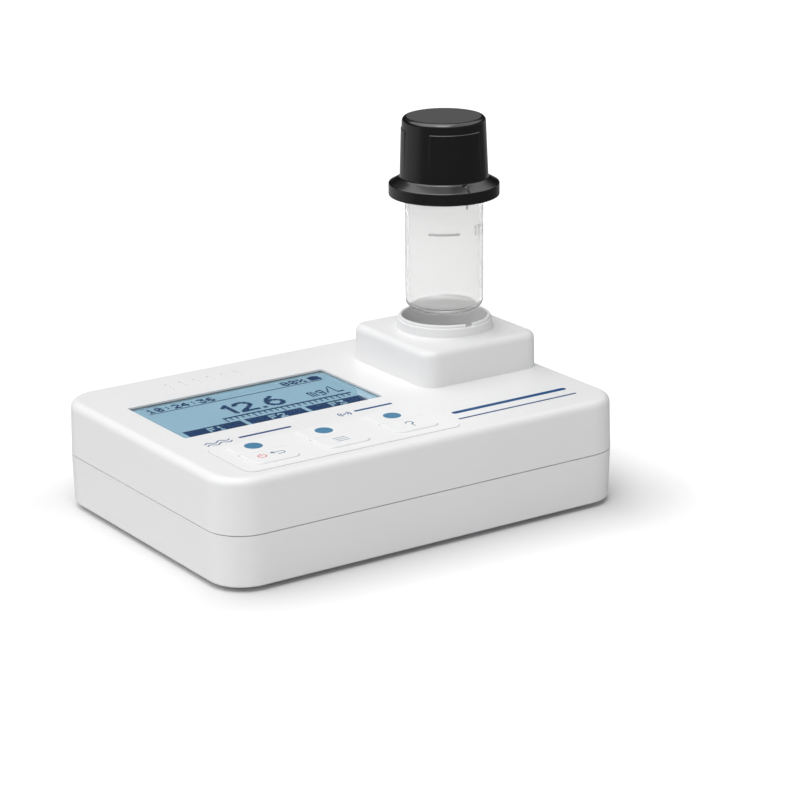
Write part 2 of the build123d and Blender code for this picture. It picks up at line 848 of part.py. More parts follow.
with BuildPart() as key_switches:
    with BuildSketch(Plane.XY.offset(board_top)):
        with Locations(key_places):
            Rectangle(switch_size, switch_size)
    extrude(amount=switch_body_height)
    with BuildSketch(Plane.XY.offset(board_top + switch_body_height)):
        with Locations(key_places):
            Circle(switch_plunger_radius)
    extrude(amount=switch_plunger_height)
save(key_switches, "key_switches")

# Processor and the parts round it, under the board
with BuildPart() as board_chips:
    with BuildSketch(Plane.XY.offset(board_bottom - chip_height)):
        with Locations((processor_x, processor_y)):
            Rectangle(processor_size, processor_size)
        with Locations((processor_x + chip_pitch, processor_y)):
            with GridLocations(0, chip_length + chip_gap, 1, 2):
                Rectangle(chip_length, chip_width)
        with Locations((processor_x, processor_y + chip_pitch)):
            Rectangle(chip_width, chip_length)
    extrude(amount=chip_height)
save(board_chips, "board_chips")

with BuildPart() as board_capacitors:
    with BuildSketch(Plane.XY.offset(board_bottom - capacitor_height)):
        with Locations((processor_x + 2 * chip_pitch, processor_y)):
            with GridLocations(capacitor_pitch, capacitor_pitch, 2, 2):
                Circle(capacitor_radius)
    extrude(amount=capacitor_height)
save(board_capacitors, "board_capacitors")

# Shielded radio module on top of the board, behind the display
with BuildPart() as radio_module:
    with BuildSketch(Plane.XY.offset(board_top)):
        with Locations((radio_x, radio_y)):
            Rectangle(radio_length, radio_width)
    extrude(amount=radio_board_thickness)
    with BuildSketch(Plane.XY.offset(board_top + radio_board_thickness)):
        with Locations((radio_x - (radio_length - shield_length) / 2 + radio_edge, radio_y)):
            RectangleRounded(shield_length, radio_width - 2 * radio_edge, radio_edge)
    extrude(amount=shield_height)
save(radio_module, "radio_module")

with BuildPart() as sounder:
    with BuildSketch(Plane.XY.offset(board_top)):
        with Locations((sounder_x, sounder_y)):
            Circle(sounder_radius)
    extrude(amount=sounder_height)
    with BuildSketch(Plane.XY.offset(board_top + sounder_height - sounder_hole_depth)):
        with Locations((sounder_x, sounder_y)):
            Circle(sounder_hole_radius)
    extrude(amount=sounder_hole_depth, mode=Mode.SUBTRACT)
save(sounder, "sounder")

# Watertight membrane under the sounder slots
with BuildPart() as sounder_membrane:
    with BuildSketch(Plane.XY.offset(ceiling_z - membrane_thickness)):
        with Locations((sounder_x, sounder_y)):
            membrane_length = (slot_count - 1) * slot_pitch + slot_width + 2 * membrane_margin
            RectangleRounded(membrane_length, slot_length + 2 * membrane_margin, membrane_margin)
    extrude(amount=membrane_thickness)
save(sounder_membrane, "sounder_membrane")


# Cuvette holder: flanged eight-sided block with the well bore and the eight light ports
with BuildPart() as cuvette_holder:
    with BuildSketch(well_plane(holder_floor_top - holder_floor)):
        RegularPolygon(holder_flat, 8, major_radius=False, rotation=22.5)
    extrude(amount=flange_bottom - holder_floor_top + holder_floor)
    with BuildSketch(well_plane(flange_bottom)):
        RectangleRounded(flange_size, flange_size, block_corner_radius - wall)
        with Locations([(x - well_x, y - well_y) for x, y in flange_screws]):
            Circle(small_screw_radius + screw_clearance, mode=Mode.SUBTRACT)
    extrude(amount=flange_thickness)
    # Well bore, with a lead-in that guides the cuvette
    with BuildSketch(well_section(0)):
        with BuildLine():
            Polyline(
                (0, holder_floor_top),
                (holder_bore, holder_floor_top),
                (holder_bore, flange_top - (mouth_radius - holder_bore)),
                (mouth_radius, flange_top),
                (0, flange_top),
                close=True,
            )
        make_face()
    revolve(axis=well_axis, mode=Mode.SUBTRACT)
    for angle in source_angles + detector_angles:
        with BuildSketch(port_plane(angle, holder_bore - past)):
            Circle(aperture_radius)
        extrude(amount=holder_flat - holder_bore + 2 * past, mode=Mode.SUBTRACT)
        with BuildSketch(port_plane(angle, port_start)):
            Circle(port_radius)
        extrude(amount=holder_flat - port_start + past, mode=Mode.SUBTRACT)
save(cuvette_holder, "cuvette_holder")

with BuildPart() as holder_seal:
    with BuildSketch(well_plane(flange_top)):
        Circle(mouth_radius + seal_width)
        Circle(mouth_radius, mode=Mode.SUBTRACT)
    extrude(amount=seal_height)
save(holder_seal, "holder_seal")

with BuildPart() as holder_screws:
    with BuildSketch(Plane.XY.offset(flange_bottom - small_screw_head_height)):
        with Locations(flange_screws):
            Circle(small_screw_head_radius)
    extrude(amount=small_screw_head_height)
    with BuildSketch(Plane.XY.offset(flange_bottom)):
        with Locations(flange_screws):
            Circle(small_screw_radius)
    extrude(amount=flange_thickness + small_screw_grip)
save(holder_screws, "holder_screws")

# Optical pieces in the ports: lamps and filters on one side, lenses and detectors opposite
with BuildPart() as light_filters:
    for angle in source_angles:
        with BuildSketch(port_plane(angle, port_start)):
            Circle(port_radius - optic_clearance)
        extrude(amount=filter_thickness)
save(light_filters, "light_filters")

with BuildPart() as leds:
    for angle in source_angles:
        with BuildSketch(port_plane(angle, holder_flat - led_length)):
            Circle(led_radius - led_tip)
        extrude(amount=led_tip, taper=-45)
        with BuildSketch(port_plane(angle, holder_flat - led_length + led_tip)):
            Circle(led_radius)
        extrude(amount=led_length - led_tip)
save(leds, "leds")

with BuildPart() as emitter_boards:
    for angle in source_angles:
        with BuildSketch(port_plane(angle, holder_flat)):
            Rectangle(sensor_board_width, sensor_board_height)
        extrude(amount=sensor_board_thickness)
save(emitter_boards, "emitter_boards")

with BuildPart() as focus_lenses:
    for angle in detector_angles:
        with BuildSketch(port_plane(angle, port_start)):
            Circle(port_radius - optic_clearance)
        extrude(amount=lens_thickness)
save(focus_lenses, "focus_lenses")

with BuildPart() as photodiodes:
    for angle in detector_angles:
        with BuildSketch(port_plane(angle, holder_flat - led_length)):
            Circle(photodiode_radius)
        extrude(amount=led_length - photodiode_rim_height)
        with BuildSketch(port_plane(angle, holder_flat - photodiode_rim_height)):
            Circle(photodiode_radius + photodiode_rim)
        extrude(amount=photodiode_rim_height)
save(photodiodes, "photodiodes")

with BuildPart() as detector_boards:
    for angle in detector_angles:
        with BuildSketch(port_plane(angle, holder_flat)):
            Rectangle(sensor_board_width, sensor_board_height)
        extrude(amount=sensor_board_thickness)
save(detector_boards, "detector_boards")

# Flat cable that runs from its connector under the board across to the detectors
with BuildPart() as detector_cable:
    cable_top = board_bottom - connector_height
    cable_level = cable_top - cable_sag
    cable_face = well_x - holder_flat - sensor_board_thickness - cable_thickness / 2
    with BuildSketch(Plane.XZ.offset(-well_y - cable_width / 2)):
        with BuildLine():
            FilletPolyline(
                (connector_x, cable_top),
                (connector_x, cable_level),
                (cable_face, cable_level),
                (cable_face, cable_level - cable_lap),
                radius=cable_bend,
            )
        trace(line_width=cable_thickness)
    extrude(amount=cable_width)
save(detector_cable, "detector_cable")

# Flat cable on edge that runs from a tall connector to the lamp boards
with BuildPart() as emitter_cable:
    cable_start = connector_x + connector_length / 2
    cable_face = emitter_face + cable_thickness / 2
    with BuildSketch(Plane.XY.offset(emitter_cable_bottom)):
        with BuildLine():
            FilletPolyline(
                (cable_start, emitter_connector_y),
                (cable_start + emitter_cable_reach, emitter_connector_y),
                (well_x + sensor_board_width / 4 - emitter_cable_lap, cable_face),
                (well_x + sensor_board_width / 4, cable_face),
                radius=emitter_cable_bend,
            )
        trace(line_width=cable_thickness)
    extrude(amount=cable_width)
save(emitter_cable, "emitter_cable")

# Connectors under the board for both sensor cables
with BuildPart() as board_connectors:
    with BuildSketch(Plane.XY.offset(board_bottom - connector_height)):
        with Locations((connector_x, well_y)):
            Rectangle(connector_length, cable_width + 2 * connector_margin)
    extrude(amount=connector_height)
    with BuildSketch(Plane.XY.offset(emitter_cable_bottom)):
        with Locations((connector_x, emitter_connector_y)):
            Rectangle(connector_length, emitter_connector_width)
    extrude(amount=board_bottom - emitter_cable_bottom)
save(board_connectors, "board_connectors")


# Battery cells, alternately turned round
def make_cell(number, x, turned):
    """A round cell that lies along Y, with its raised terminal at the end away from the spring."""
    way = -1 if turned else 1
    end = bay_length / 2 - contact_thickness
    with BuildPart() as cell:
        with BuildSketch(Plane(origin=(x, way * end, cell_z), z_dir=(0, -way, 0))):
            Circle(cell_nub_radius)
        extrude(amount=cell_nub_height)
        body_start = way * (end - cell_nub_height)
        with BuildSketch(Plane(origin=(x, body_start, cell_z), z_dir=(0, -way, 0))):
            Circle(cell_radius)
        extrude(amount=cell_length - cell_nub_height)
        rims = cell.edges().filter_by(GeomType.CIRCLE)
        chamfer([rim for rim in rims if rim.radius > cell_nub_radius], cell_edge)
    save(cell, f"battery_{number + 1}")


for number, x in enumerate(cell_xs):
    make_cell(number, x, number % 2 == 1)

# Contact plates at both ends of the bay, and a leaf spring at the flat end of each cell
with BuildPart() as contact_plates:
    for side in (-1, 1):
        plate_plane = Plane(
            origin=(0, side * bay_length / 2, cell_z), x_dir=(1, 0, 0), z_dir=(0, -side, 0)
        )
        with BuildSketch(plate_plane):
            with Locations([(x, 0) for x in cell_xs]):
                Rectangle(contact_size, contact_size)
        extrude(amount=contact_thickness)
save(contact_plates, "contact_plates")

with BuildPart() as contact_springs:
    for n, x in enumerate(cell_xs):
        way = 1 if n % 2 == 1 else -1
        face = way * (bay_length / 2 - contact_thickness)
        back = face - way * contact_thickness / 2
        tip = way * (bay_length / 2 - contact_thickness - spring_space + contact_thickness / 2)
        with BuildSketch(Plane.YZ.offset(x - spring_width / 2)):
            with BuildLine():
                FilletPolyline(
                    (back, cell_z + spring_height),
                    (back, cell_z - spring_height),
                    (tip, cell_z - spring_tip),
                    (tip, cell_z + spring_tip),
                    ((back + tip) / 2, cell_z + spring_height - spring_tip),
                    radius=spring_bend,
                )
            trace(line_width=contact_thickness)
        extrude(amount=spring_width)
save(contact_springs, "contact_springs")

# Two insulated leads from the bay up to the board
with BuildPart() as battery_leads:
    for side in (-1, 1):
        lead_start = side * (bay_length / 2 + bay_wall)
        lead_turn = lead_start + side * (lead_reach + lead_radius)
        with BuildLine():
            lead_line = FilletPolyline(
                (cell_xs[0], lead_start, bay_ceiling - lead_drop),
                (cell_xs[0], lead_turn, bay_ceiling - lead_drop),
                (cell_xs[0], lead_turn, board_bottom),
                radius=lead_bend,
            )
        with BuildSketch(Plane(origin=lead_line @ 0, z_dir=lead_line % 0)):
            Circle(lead_radius)
        sweep(path=lead_line)
save(battery_leads, "battery_leads")


# Battery door with ribs under the cells, and a recess round each screw
with BuildPart() as battery_door:
    with BuildSketch(Plane.XY.offset(door_plate_bottom)):
        with Locations((bay_x, 0)):
            RectangleRounded(door_width, door_length, door_corner_radius)
    extrude(amount=door_thickness)
    chamfer(battery_door.faces().sort_by(Axis.Z)[0].edges(), door_edge)
    with BuildSketch(Plane.XY.offset(door_plate_top)):
        with Locations((bay_x, -cell_length / 4), (bay_x, cell_length / 4)):
            Rectangle(bay_width - 2 * door_rib_margin, rib_thickness)
        with Locations(door_screw_places):
            Circle(door_pad_radius)
    extrude(amount=door_gasket_height - running_clearance)
    with BuildSketch(Plane.XY.offset(door_plate_bottom)):
        with Locations(door_screw_places):
            Circle(door_screw_head_radius + door_clearance)
    extrude(amount=door_screw_head_height + door_sink, mode=Mode.SUBTRACT)
    with BuildSketch(Plane.XY.offset(door_plate_bottom)):
        with Locations(door_screw_places):
            Circle(door_screw_radius + running_clearance)
    extrude(amount=door_thickness + door_gasket_height, mode=Mode.SUBTRACT)
save(battery_door, "battery_door")

with BuildPart() as door_gasket:
    with BuildSketch(Plane.XY.offset(door_plate_top)):
        with Locations((bay_x, 0)):
            inner_x = bay_width + 2 * door_gasket_margin
            inner_y = bay_length + 2 * door_gasket_margin
            RectangleRounded(
                inner_x + 2 * door_gasket_width, inner_y + 2 * door_gasket_width, door_corner_radius / 2
            )
            inner_radius = door_corner_radius / 2 - door_gasket_width
            RectangleRounded(inner_x, inner_y, inner_radius, mode=Mode.SUBTRACT)
    extrude(amount=door_gasket_height - running_clearance)
save(door_gasket, "door_gasket")


def make_door_screw(number, place):
    """A coin-slot screw that stays in the door."""
    with BuildPart() as screw:
        head_bottom = door_plate_bottom + door_sink - running_clearance
        with BuildSketch(Plane.XY.offset(head_bottom)):
            with Locations(place):
                Circle(door_screw_head_radius)
        extrude(amount=door_screw_head_height)
        with BuildSketch(Plane.XY.offset(head_bottom + door_screw_head_height)):
            with Locations(place):
                Circle(door_screw_radius)
        extrude(amount=ledge_z + door_screw_grip - head_bottom - door_screw_head_height)
        with BuildSketch(Plane.XY.offset(head_bottom)):
            with Locations(place):
                Rectangle(2 * door_screw_head_radius, coin_slot_width)
        extrude(amount=coin_slot_depth, mode=Mode.SUBTRACT)
    save(screw, f"door_screw_{number + 1}")


for number, place in enumerate(door_screw_places):
    make_door_screw(number, place)


# Glass cuvette: thick round-cornered base, straight wall, shoulder and neck
with BuildPart() as cuvette_glass:
    with BuildSketch(well_section(0)):
        with BuildLine():
            glass_outside = FilletPolyline(
                (0, glass_base),
                (glass_radius, glass_base),
                (glass_radius, shoulder_bottom),
                (neck_radius, neck_bottom),
                radius=(glass_base_radius, shoulder_radius),
            )
            glass_inside = FilletPolyline(
                (glass_radius - glass_wall, shoulder_bottom - shoulder_drop),
                (glass_radius - glass_wall, glass_base + glass_floor),
                (0, glass_base + glass_floor),
                radius=glass_inner_base_radius,
            )
            Polyline(
                glass_outside @ 1,
                (neck_radius, glass_top),
                (neck_radius - neck_wall, glass_top),
                (neck_radius - neck_wall, neck_bottom),
                glass_inside @ 0,
            )
            Line(glass_inside @ 1, glass_outside @ 0)
        make_face()
    revolve(axis=well_axis)
save(cuvette_glass, "cuvette_glass")

# Stopper that plugs the neck under the cap
stopper_radius = neck_radius - neck_wall - stopper_clearance
with BuildPart() as stopper:
    with BuildSketch(well_section(0)):
        with BuildLine():
            Polyline(
                (0, glass_top - stopper_depth),
                (stopper_radius - stopper_tip, glass_top - stopper_depth),
                (stopper_radius, glass_top - stopper_depth + stopper_tip),
                (stopper_radius, glass_top),
                (neck_radius, glass_top),
                (neck_radius, glass_top + stopper_head - stopper_edge),
                (neck_radius - stopper_edge, glass_top + stopper_head),
                (0, glass_top + stopper_head),
                close=True,
            )
        make_face()
    revolve(axis=well_axis)
save(stopper, "stopper")

# Light-tight cap: tapered grip over a wide flange that closes over the collar
with BuildPart() as cap:
    slope_top = cap_bottom + flange_side + flange_slope
    with BuildSketch(well_section(0)):
        with BuildLine():
            cap_outside = FilletPolyline(
                (flange_radius, cap_bottom + flange_side),
                (cap_base_radius, slope_top),
                (cap_top_radius, cap_top),
                (0, cap_top),
                radius=(cap_root_radius, cap_edge_radius),
            )
            Polyline(
                cap_outside @ 1,
                (0, cap_bottom),
                (flange_radius - flange_edge, cap_bottom),
                (flange_radius, cap_bottom + flange_edge),
                cap_outside @ 0,
            )
        make_face()
    revolve(axis=well_axis)
    # Raised grip pads that fade out towards the flange
    pad_top = cap_top - grip_top_margin
    pad_bottom = slope_top + grip_bottom_margin
    draft_per_mm = (cap_base_radius - cap_top_radius) / (cap_top - slope_top)
    pad_top_radius = cap_base_radius - draft_per_mm * (pad_top - slope_top)
    pad_bottom_radius = cap_base_radius - draft_per_mm * (pad_bottom - slope_top)
    for n in range(grip_count):
        with BuildSketch(well_section(grip_start + n * 360 / grip_count - grip_angle / 2)):
            with BuildLine():
                Polyline(
                    (pad_top_radius - past, pad_top),
                    (pad_top_radius + grip_proud, pad_top),
                    (pad_bottom_radius + grip_root, pad_bottom),
                    (pad_bottom_radius - past, pad_bottom),
                    close=True,
                )
            make_face()
        revolve(axis=well_axis, revolution_arc=grip_angle)
    # Stepped bore: collar pocket, shoulder of the glass, neck and stopper, hollow grip
    pocket_depth = lip_top - block_top - cap_gap + collar_pocket_clearance
    with BuildSketch(well_section(0)):
        with BuildLine():
            Polyline(
                (0, cap_bottom),
                (collar_radius + collar_pocket_clearance, cap_bottom),
                (collar_radius + collar_pocket_clearance, cap_bottom + pocket_depth - collar_pocket_edge),
                (lip_radius + collar_pocket_clearance, cap_bottom + pocket_depth),
                (glass_radius + cap_bore_clearance, cap_bottom + pocket_depth),
                (neck_radius + cap_bore_clearance, cap_bottom + pocket_depth + bore_slope),
                (neck_radius + cap_bore_clearance, glass_top + stopper_head + cap_bore_clearance),
                (neck_radius - bore_ledge, glass_top + stopper_head + cap_bore_clearance),
                (neck_radius - bore_ledge, cap_top - cap_top_thickness),
                (0, cap_top - cap_top_thickness),
                close=True,
            )
        make_face()
    revolve(axis=well_axis, mode=Mode.SUBTRACT)
    # Index notch on the slope of the flange, near the notch of the collar
    ux, uy = cos(radians(index_angle)), sin(radians(index_angle))
    index_plane = Plane(
        origin=(well_x + flange_radius * ux, well_y + flange_radius * uy, slope_top),
        x_dir=(uy, -ux, 0),
        z_dir=(-ux, -uy, 0),
    )
    with BuildSketch(index_plane):
        with BuildLine():
            Polyline(
                (-index_notch, index_reach),
                (index_notch, index_reach),
                (0, -flange_slope - index_reach),
                close=True,
            )
        make_face()
    extrude(amount=flange_radius - cap_base_radius - index_root, mode=Mode.SUBTRACT)
save(cap, "cap")
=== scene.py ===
# %% [markdown]
# # A portable photometer in the studio
# A photometer shines light through a glass cuvette of water and reads how much of one colour
# is lost. This lesson dresses a finished construction of one: the solids come in as a fixed
# frame, and every step adds a surface, a print or a finish. Lengths are in metres.

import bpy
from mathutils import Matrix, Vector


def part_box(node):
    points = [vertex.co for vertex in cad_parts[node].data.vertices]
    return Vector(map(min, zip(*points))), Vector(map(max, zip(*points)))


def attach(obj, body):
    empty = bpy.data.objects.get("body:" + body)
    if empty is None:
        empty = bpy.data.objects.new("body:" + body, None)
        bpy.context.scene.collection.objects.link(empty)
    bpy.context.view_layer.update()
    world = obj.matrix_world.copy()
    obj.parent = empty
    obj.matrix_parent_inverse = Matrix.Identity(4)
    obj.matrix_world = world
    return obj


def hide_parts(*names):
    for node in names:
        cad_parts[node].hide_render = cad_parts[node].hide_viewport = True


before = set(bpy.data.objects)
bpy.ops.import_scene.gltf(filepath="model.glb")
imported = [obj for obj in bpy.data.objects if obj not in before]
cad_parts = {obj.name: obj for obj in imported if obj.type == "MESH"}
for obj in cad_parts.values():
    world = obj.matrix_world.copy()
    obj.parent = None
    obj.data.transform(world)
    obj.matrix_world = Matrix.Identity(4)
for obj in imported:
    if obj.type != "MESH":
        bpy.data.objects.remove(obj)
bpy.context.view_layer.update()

# %% [markdown]
# Shapes are worked out as arrays, so numpy does most of the work. Sizes are written in
# millimetres, as on a drawing, and one helper makes them metres.

import bmesh
import bpy
import numpy as np
from mathutils import Matrix, Vector

MM = 0.001
TURN = 2 * np.pi
SEAM_ANGLE = np.radians(32)


def mm(*numbers):
    """Numbers or points given in millimetres, as an array in metres."""
    return np.array(numbers) * MM


print("Blender", bpy.app.version_string, "and numpy", np.__version__)

# %% [markdown]
# ## Places read from the frame
# Nothing is measured twice. The well, the glass, the cap and the display are all read from the
# boxes of the solids, so a change in the construction moves every surface with it.

# %% Places
glass_low, glass_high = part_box("cuvette_glass")
cap_low, cap_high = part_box("cap")
window_low, window_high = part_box("display_window")
case_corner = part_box("upper_shell")[1]
well = np.array([(glass_low.x + glass_high.x) / 2, (glass_low.y + glass_high.y) / 2])
glass_radius = (glass_high.x - glass_low.x) / 2
print("well axis at", np.round(well / MM, 2), "mm, glass radius", round(glass_radius / MM, 2), "mm")


# %% [markdown]
# ## Surfaces from arrays
# A shape here is a grid of points worked out with whole arrays. Rows run along a profile and
# columns run round it, with the last one joined to the first. The grid is closed by merging the
# points that coincide, such as those of a pole, which is a row that has shrunk to one point.

# %% Grids to meshes
def grid_faces(rows, columns):
    """Quads between neighbouring points of a grid numbered row by row. The last column meets
    the first."""
    grid = np.meshgrid(np.arange(rows - 1), np.arange(columns), indexing="ij")
    i, j = (index.ravel() for index in grid)
    i2, j2 = i + 1, (j + 1) % columns
    return np.stack([i * columns + j, i * columns + j2, i2 * columns + j2, i2 * columns + j], 1)


def new_piece(name, points, faces, body, slot, material, sharp=SEAM_ANGLE):
    """Makes a mesh from arrays, closes its seams, turns its faces outwards and lets it ride."""
    mesh = bpy.data.meshes.new(name)
    mesh.from_pydata(np.asarray(points).tolist(), [], np.asarray(faces).tolist())
    shape = bmesh.new()
    shape.from_mesh(mesh)
    bmesh.ops.remove_doubles(shape, verts=shape.verts, dist=1e-7)
    bmesh.ops.dissolve_degenerate(shape, edges=shape.edges, dist=1e-8)
    bmesh.ops.recalc_face_normals(shape, faces=shape.faces)
    shape.to_mesh(mesh)
    shape.free()
    mesh.shade_smooth()
    mesh.set_sharp_from_angle(angle=sharp)
    mesh.materials.append(material)
    piece = bpy.data.objects.new(name, mesh)
    bpy.context.scene.collection.objects.link(piece)
    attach(piece, body)
    print(f"{name}: {len(mesh.polygons)} faces on {body}")
    return piece


# %% [markdown]
# A turned part such as the cap or the glass is a profile that goes round an axis. Its corners
# are never sharp, so the profile is a chain of straight lines with an arc set in each corner.

# %% Profiles
def rounded_profile(corners, radii, arc_steps):
    """Chain of lines with corner k rounded to radii[k]. The arc's ends lie r / tan(half of the
    corner's angle) from the corner, and its points go round the centre by equal angles."""
    corners = np.asarray(corners, float)
    chain = [corners[:1]]
    for before, corner, after, r in zip(corners, corners[1:], corners[2:], radii):
        if r == 0:
            chain.append(corner[None])
            continue
        a = (before - corner) / np.linalg.norm(before - corner)
        b = (after - corner) / np.linalg.norm(after - corner)
        half = np.arccos(np.clip(a @ b, -1, 1)) / 2
        centre = corner + (a + b) / np.linalg.norm(a + b) * r / np.sin(half)
        start, end = corner + a * r / np.tan(half), corner + b * r / np.tan(half)
        t = np.linspace(0, 1, arc_steps)[:, None]
        sweep = np.pi - 2 * half
        mix = np.sin((1 - t) * sweep) * (start - centre) + np.sin(t * sweep) * (end - centre)
        chain.append(centre + mix / np.sin(sweep))
    chain.append(corners[-1:])
    return np.concatenate(chain)


def stretched(chain, longest):
    """Adds points to a chain so that no step is longer than the given length."""
    steps = np.linalg.norm(np.diff(chain, axis=0), axis=1)
    counts = np.maximum(1, np.ceil(steps / longest)).astype(int)
    parts = [
        a + (b - a) * np.arange(n)[:, None] / n for a, b, n in zip(chain[:-1], chain[1:], counts)
    ]
    return np.concatenate([*parts, chain[-1:]])


def turned(radius, height, angles):
    """Points turned about the well axis: x and y are the axis plus the radius times the cosine
    and the sine of each angle."""
    x = well[0] + radius * np.cos(angles)
    y = well[1] + radius * np.sin(angles)
    return np.stack([x, y, np.broadcast_to(height, x.shape)], -1)


# %% [markdown]
# ## Finishes
# Moulded plastic is never perfectly smooth: the mould is spark-eroded, which leaves a fine
# grain, and the colour drifts a little. Metal is brushed. These effects are shared, so each is
# a node group with named inputs, built once and placed in every material that needs it.
#
# Three helpers keep the node code short: one adds a node, one does a sum, and one is a ramp.

# %% Node helpers
def put(tree, kind, feeds=None, **options):
    """Adds a node with its options. feeds gives its inputs, as a socket to join or a value."""
    node = tree.nodes.new(kind)
    for name, value in options.items():
        setattr(node, name, value)
    for name, value in (feeds or {}).items():
        if isinstance(value, bpy.types.NodeSocket):
            tree.links.new(value, node.inputs[name])
        else:
            node.inputs[name].default_value = value
    return node


def maths(tree, operation, *terms):
    """Result of an operation on terms that are sockets or numbers."""
    return put(tree, "ShaderNodeMath", dict(enumerate(terms)), operation=operation).outputs[0]


def ramp(tree, value, start, end, low, high):
    """A value that goes from low at start to high at end, and is held beyond them."""
    feeds = {"Value": value, "From Min": start, "From Max": end, "To Min": low, "To Max": high}
    return put(tree, "ShaderNodeMapRange", feeds).outputs[0]


def object_place(tree):
    """The point's place on the object, as a vector."""
    return put(tree, "ShaderNodeTexCoord").outputs["Object"]


def new_group(name, inputs, outputs):
    """A shader node group with named sockets, given as (name, type, value)."""
    group = bpy.data.node_groups.new(name, "ShaderNodeTree")
    for label, kind, value in inputs:
        socket = group.interface.new_socket(label, in_out="INPUT", socket_type=kind)
        if value is not None:
            socket.default_value = value
    for label, kind in outputs:
        group.interface.new_socket(label, in_out="OUTPUT", socket_type=kind)
    return group, put(group, "NodeGroupInput").outputs, put(group, "NodeGroupOutput").inputs


# %% [markdown]
# Mould grain is two noises of different size. The coarse one carries most of the height, and
# the fine one breaks it up, as sparks of different energy do. A picture of real grain could do
# this too, but noise has no seams and needs no unwrapping.

# %% Mould grain
FINE_TO_COARSE, GRAIN_OFFSET = 2.7, 0.2
mould_grain, given, result = new_group(
    "Mould grain",
    [("Vector", "NodeSocketVector", None), ("Grains per metre", "NodeSocketFloat", 4000.0)],
    [("Height", "NodeSocketFloat")],
)
coarse = put(
    mould_grain, "ShaderNodeTexNoise",
    {
        "Vector": given["Vector"], "Scale": given["Grains per metre"], "Detail": 2.0,
        "Roughness": 0.6,
    },
)
finer = maths(mould_grain, "MULTIPLY", given["Grains per metre"], FINE_TO_COARSE)
cells = put(mould_grain, "ShaderNodeTexVoronoi", {"Vector": given["Vector"], "Scale": finer})
grain_height = maths(
    mould_grain, "MULTIPLY_ADD", coarse.outputs[0], cells.outputs["Distance"], GRAIN_OFFSET
)
mould_grain.links.new(grain_height, result["Height"])
print("group:", mould_grain.name)

# %% [markdown]
# Colour drift darkens and lightens a colour by a small share over centimetres, as pigment that
# isn't mixed quite evenly does.

# %% Colour drift
colour_drift, given, result = new_group(
    "Colour drift",
    [
        ("Vector", "NodeSocketVector", None),
        ("Color", "NodeSocketColor", (1, 1, 1, 1)),
        ("Amount", "NodeSocketFloat", 0.03),
        ("Patches per metre", "NodeSocketFloat", 60.0),
    ],
    [("Color", "NodeSocketColor")],
)
patches = put(
    colour_drift, "ShaderNodeTexNoise",
    {"Vector": given["Vector"], "Scale": given["Patches per metre"], "Detail": 3.0},
)
darkest = maths(colour_drift, "SUBTRACT", 1.0, given["Amount"])
shade = ramp(colour_drift, patches.outputs[0], 0.3, 0.7, darkest, 1.0)
shaded = put(
    colour_drift, "ShaderNodeVectorMath", {0: given["Color"], "Scale": shade}, operation="SCALE"
)
colour_drift.links.new(shaded.outputs["Vector"], result["Color"])
print("group:", colour_drift.name)

# %% [markdown]
# Wear changes the roughness: handled plastic is polished in places and dulled by fine wiping
# marks. The marks are a noise that is stretched along one direction and turned on the part.

# %% Wiped surface
STREAKS_PER_METRE, STREAK_ANGLE = (90.0, 420.0, 200.0), (0.0, 0.0, 0.5)
wiped_surface, given, result = new_group(
    "Wiped surface",
    [
        ("Vector", "NodeSocketVector", None),
        ("Roughness", "NodeSocketFloat", 0.4),
        ("Amount", "NodeSocketFloat", 0.08),
    ],
    [("Roughness", "NodeSocketFloat")],
)
streak_place = put(
    wiped_surface, "ShaderNodeMapping",
    {"Vector": given["Vector"], "Scale": STREAKS_PER_METRE, "Rotation": STREAK_ANGLE},
)
streaks = put(
    wiped_surface, "ShaderNodeTexNoise",
    {"Vector": streak_place.outputs[0], "Scale": 1.0, "Detail": 4.0},
)
streak = maths(wiped_surface, "SUBTRACT", streaks.outputs[0], 0.5)
roughness = maths(wiped_surface, "MULTIPLY_ADD", streak, given["Amount"], given["Roughness"])
wiped_surface.links.new(roughness, result["Roughness"])
print("group:", wiped_surface.name)


# %% [markdown]
# ## One maker for most materials
# Every finish starts the same way: a colour that drifts, a roughness with wiping marks and a
# grain that feeds a Bump node. What is the same all over a surface, such as a coat or the
# strength of the gloss, is set on the shader itself.

# %% Material maker
def finish(name, colour, roughness, grain=3.0e3, depth=0.004, drift=0.03, wipe=0.06, **shader):
    """A Principled material whose colour, roughness and normal come from the shared groups.
    grain is in grains per metre, and depth is the height of the grain in millimetres."""
    material = bpy.data.materials.new(name)
    material.use_nodes = True
    tree = material.node_tree
    surface = tree.nodes["Principled BSDF"].inputs
    for socket, value in shader.items():
        surface[socket.replace("_", " ")].default_value = value
    where = object_place(tree)
    tint = put(tree, "ShaderNodeGroup", node_tree=colour_drift)
    tint.inputs["Color"].default_value = (*colour, 1)
    tint.inputs["Amount"].default_value = drift
    rub = put(tree, "ShaderNodeGroup", node_tree=wiped_surface)
    rub.inputs["Roughness"].default_value = roughness
    rub.inputs["Amount"].default_value = wipe
    texture = put(tree, "ShaderNodeGroup", node_tree=mould_grain)
    texture.inputs["Grains per metre"].default_value = grain
    for group in (tint, rub, texture):
        tree.links.new(where, group.inputs["Vector"])
    height = {"Height": texture.outputs["Height"], "Strength": 1.0, "Distance": depth * MM}
    bump = put(tree, "ShaderNodeBump", height)
    tree.links.new(tint.outputs["Color"], surface["Base Color"])
    tree.links.new(rub.outputs["Roughness"], surface["Roughness"])
    tree.links.new(bump.outputs["Normal"], surface["Normal"])
    return material


def dress(material, *nodes):
    """Gives a finish to solids of the frame, whose meshes stay as they are."""
    print(f"{material.name}: {', '.join(nodes)}")
    for name in nodes:
        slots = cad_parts[name].data.materials
        slots.clear()
        slots.append(material)


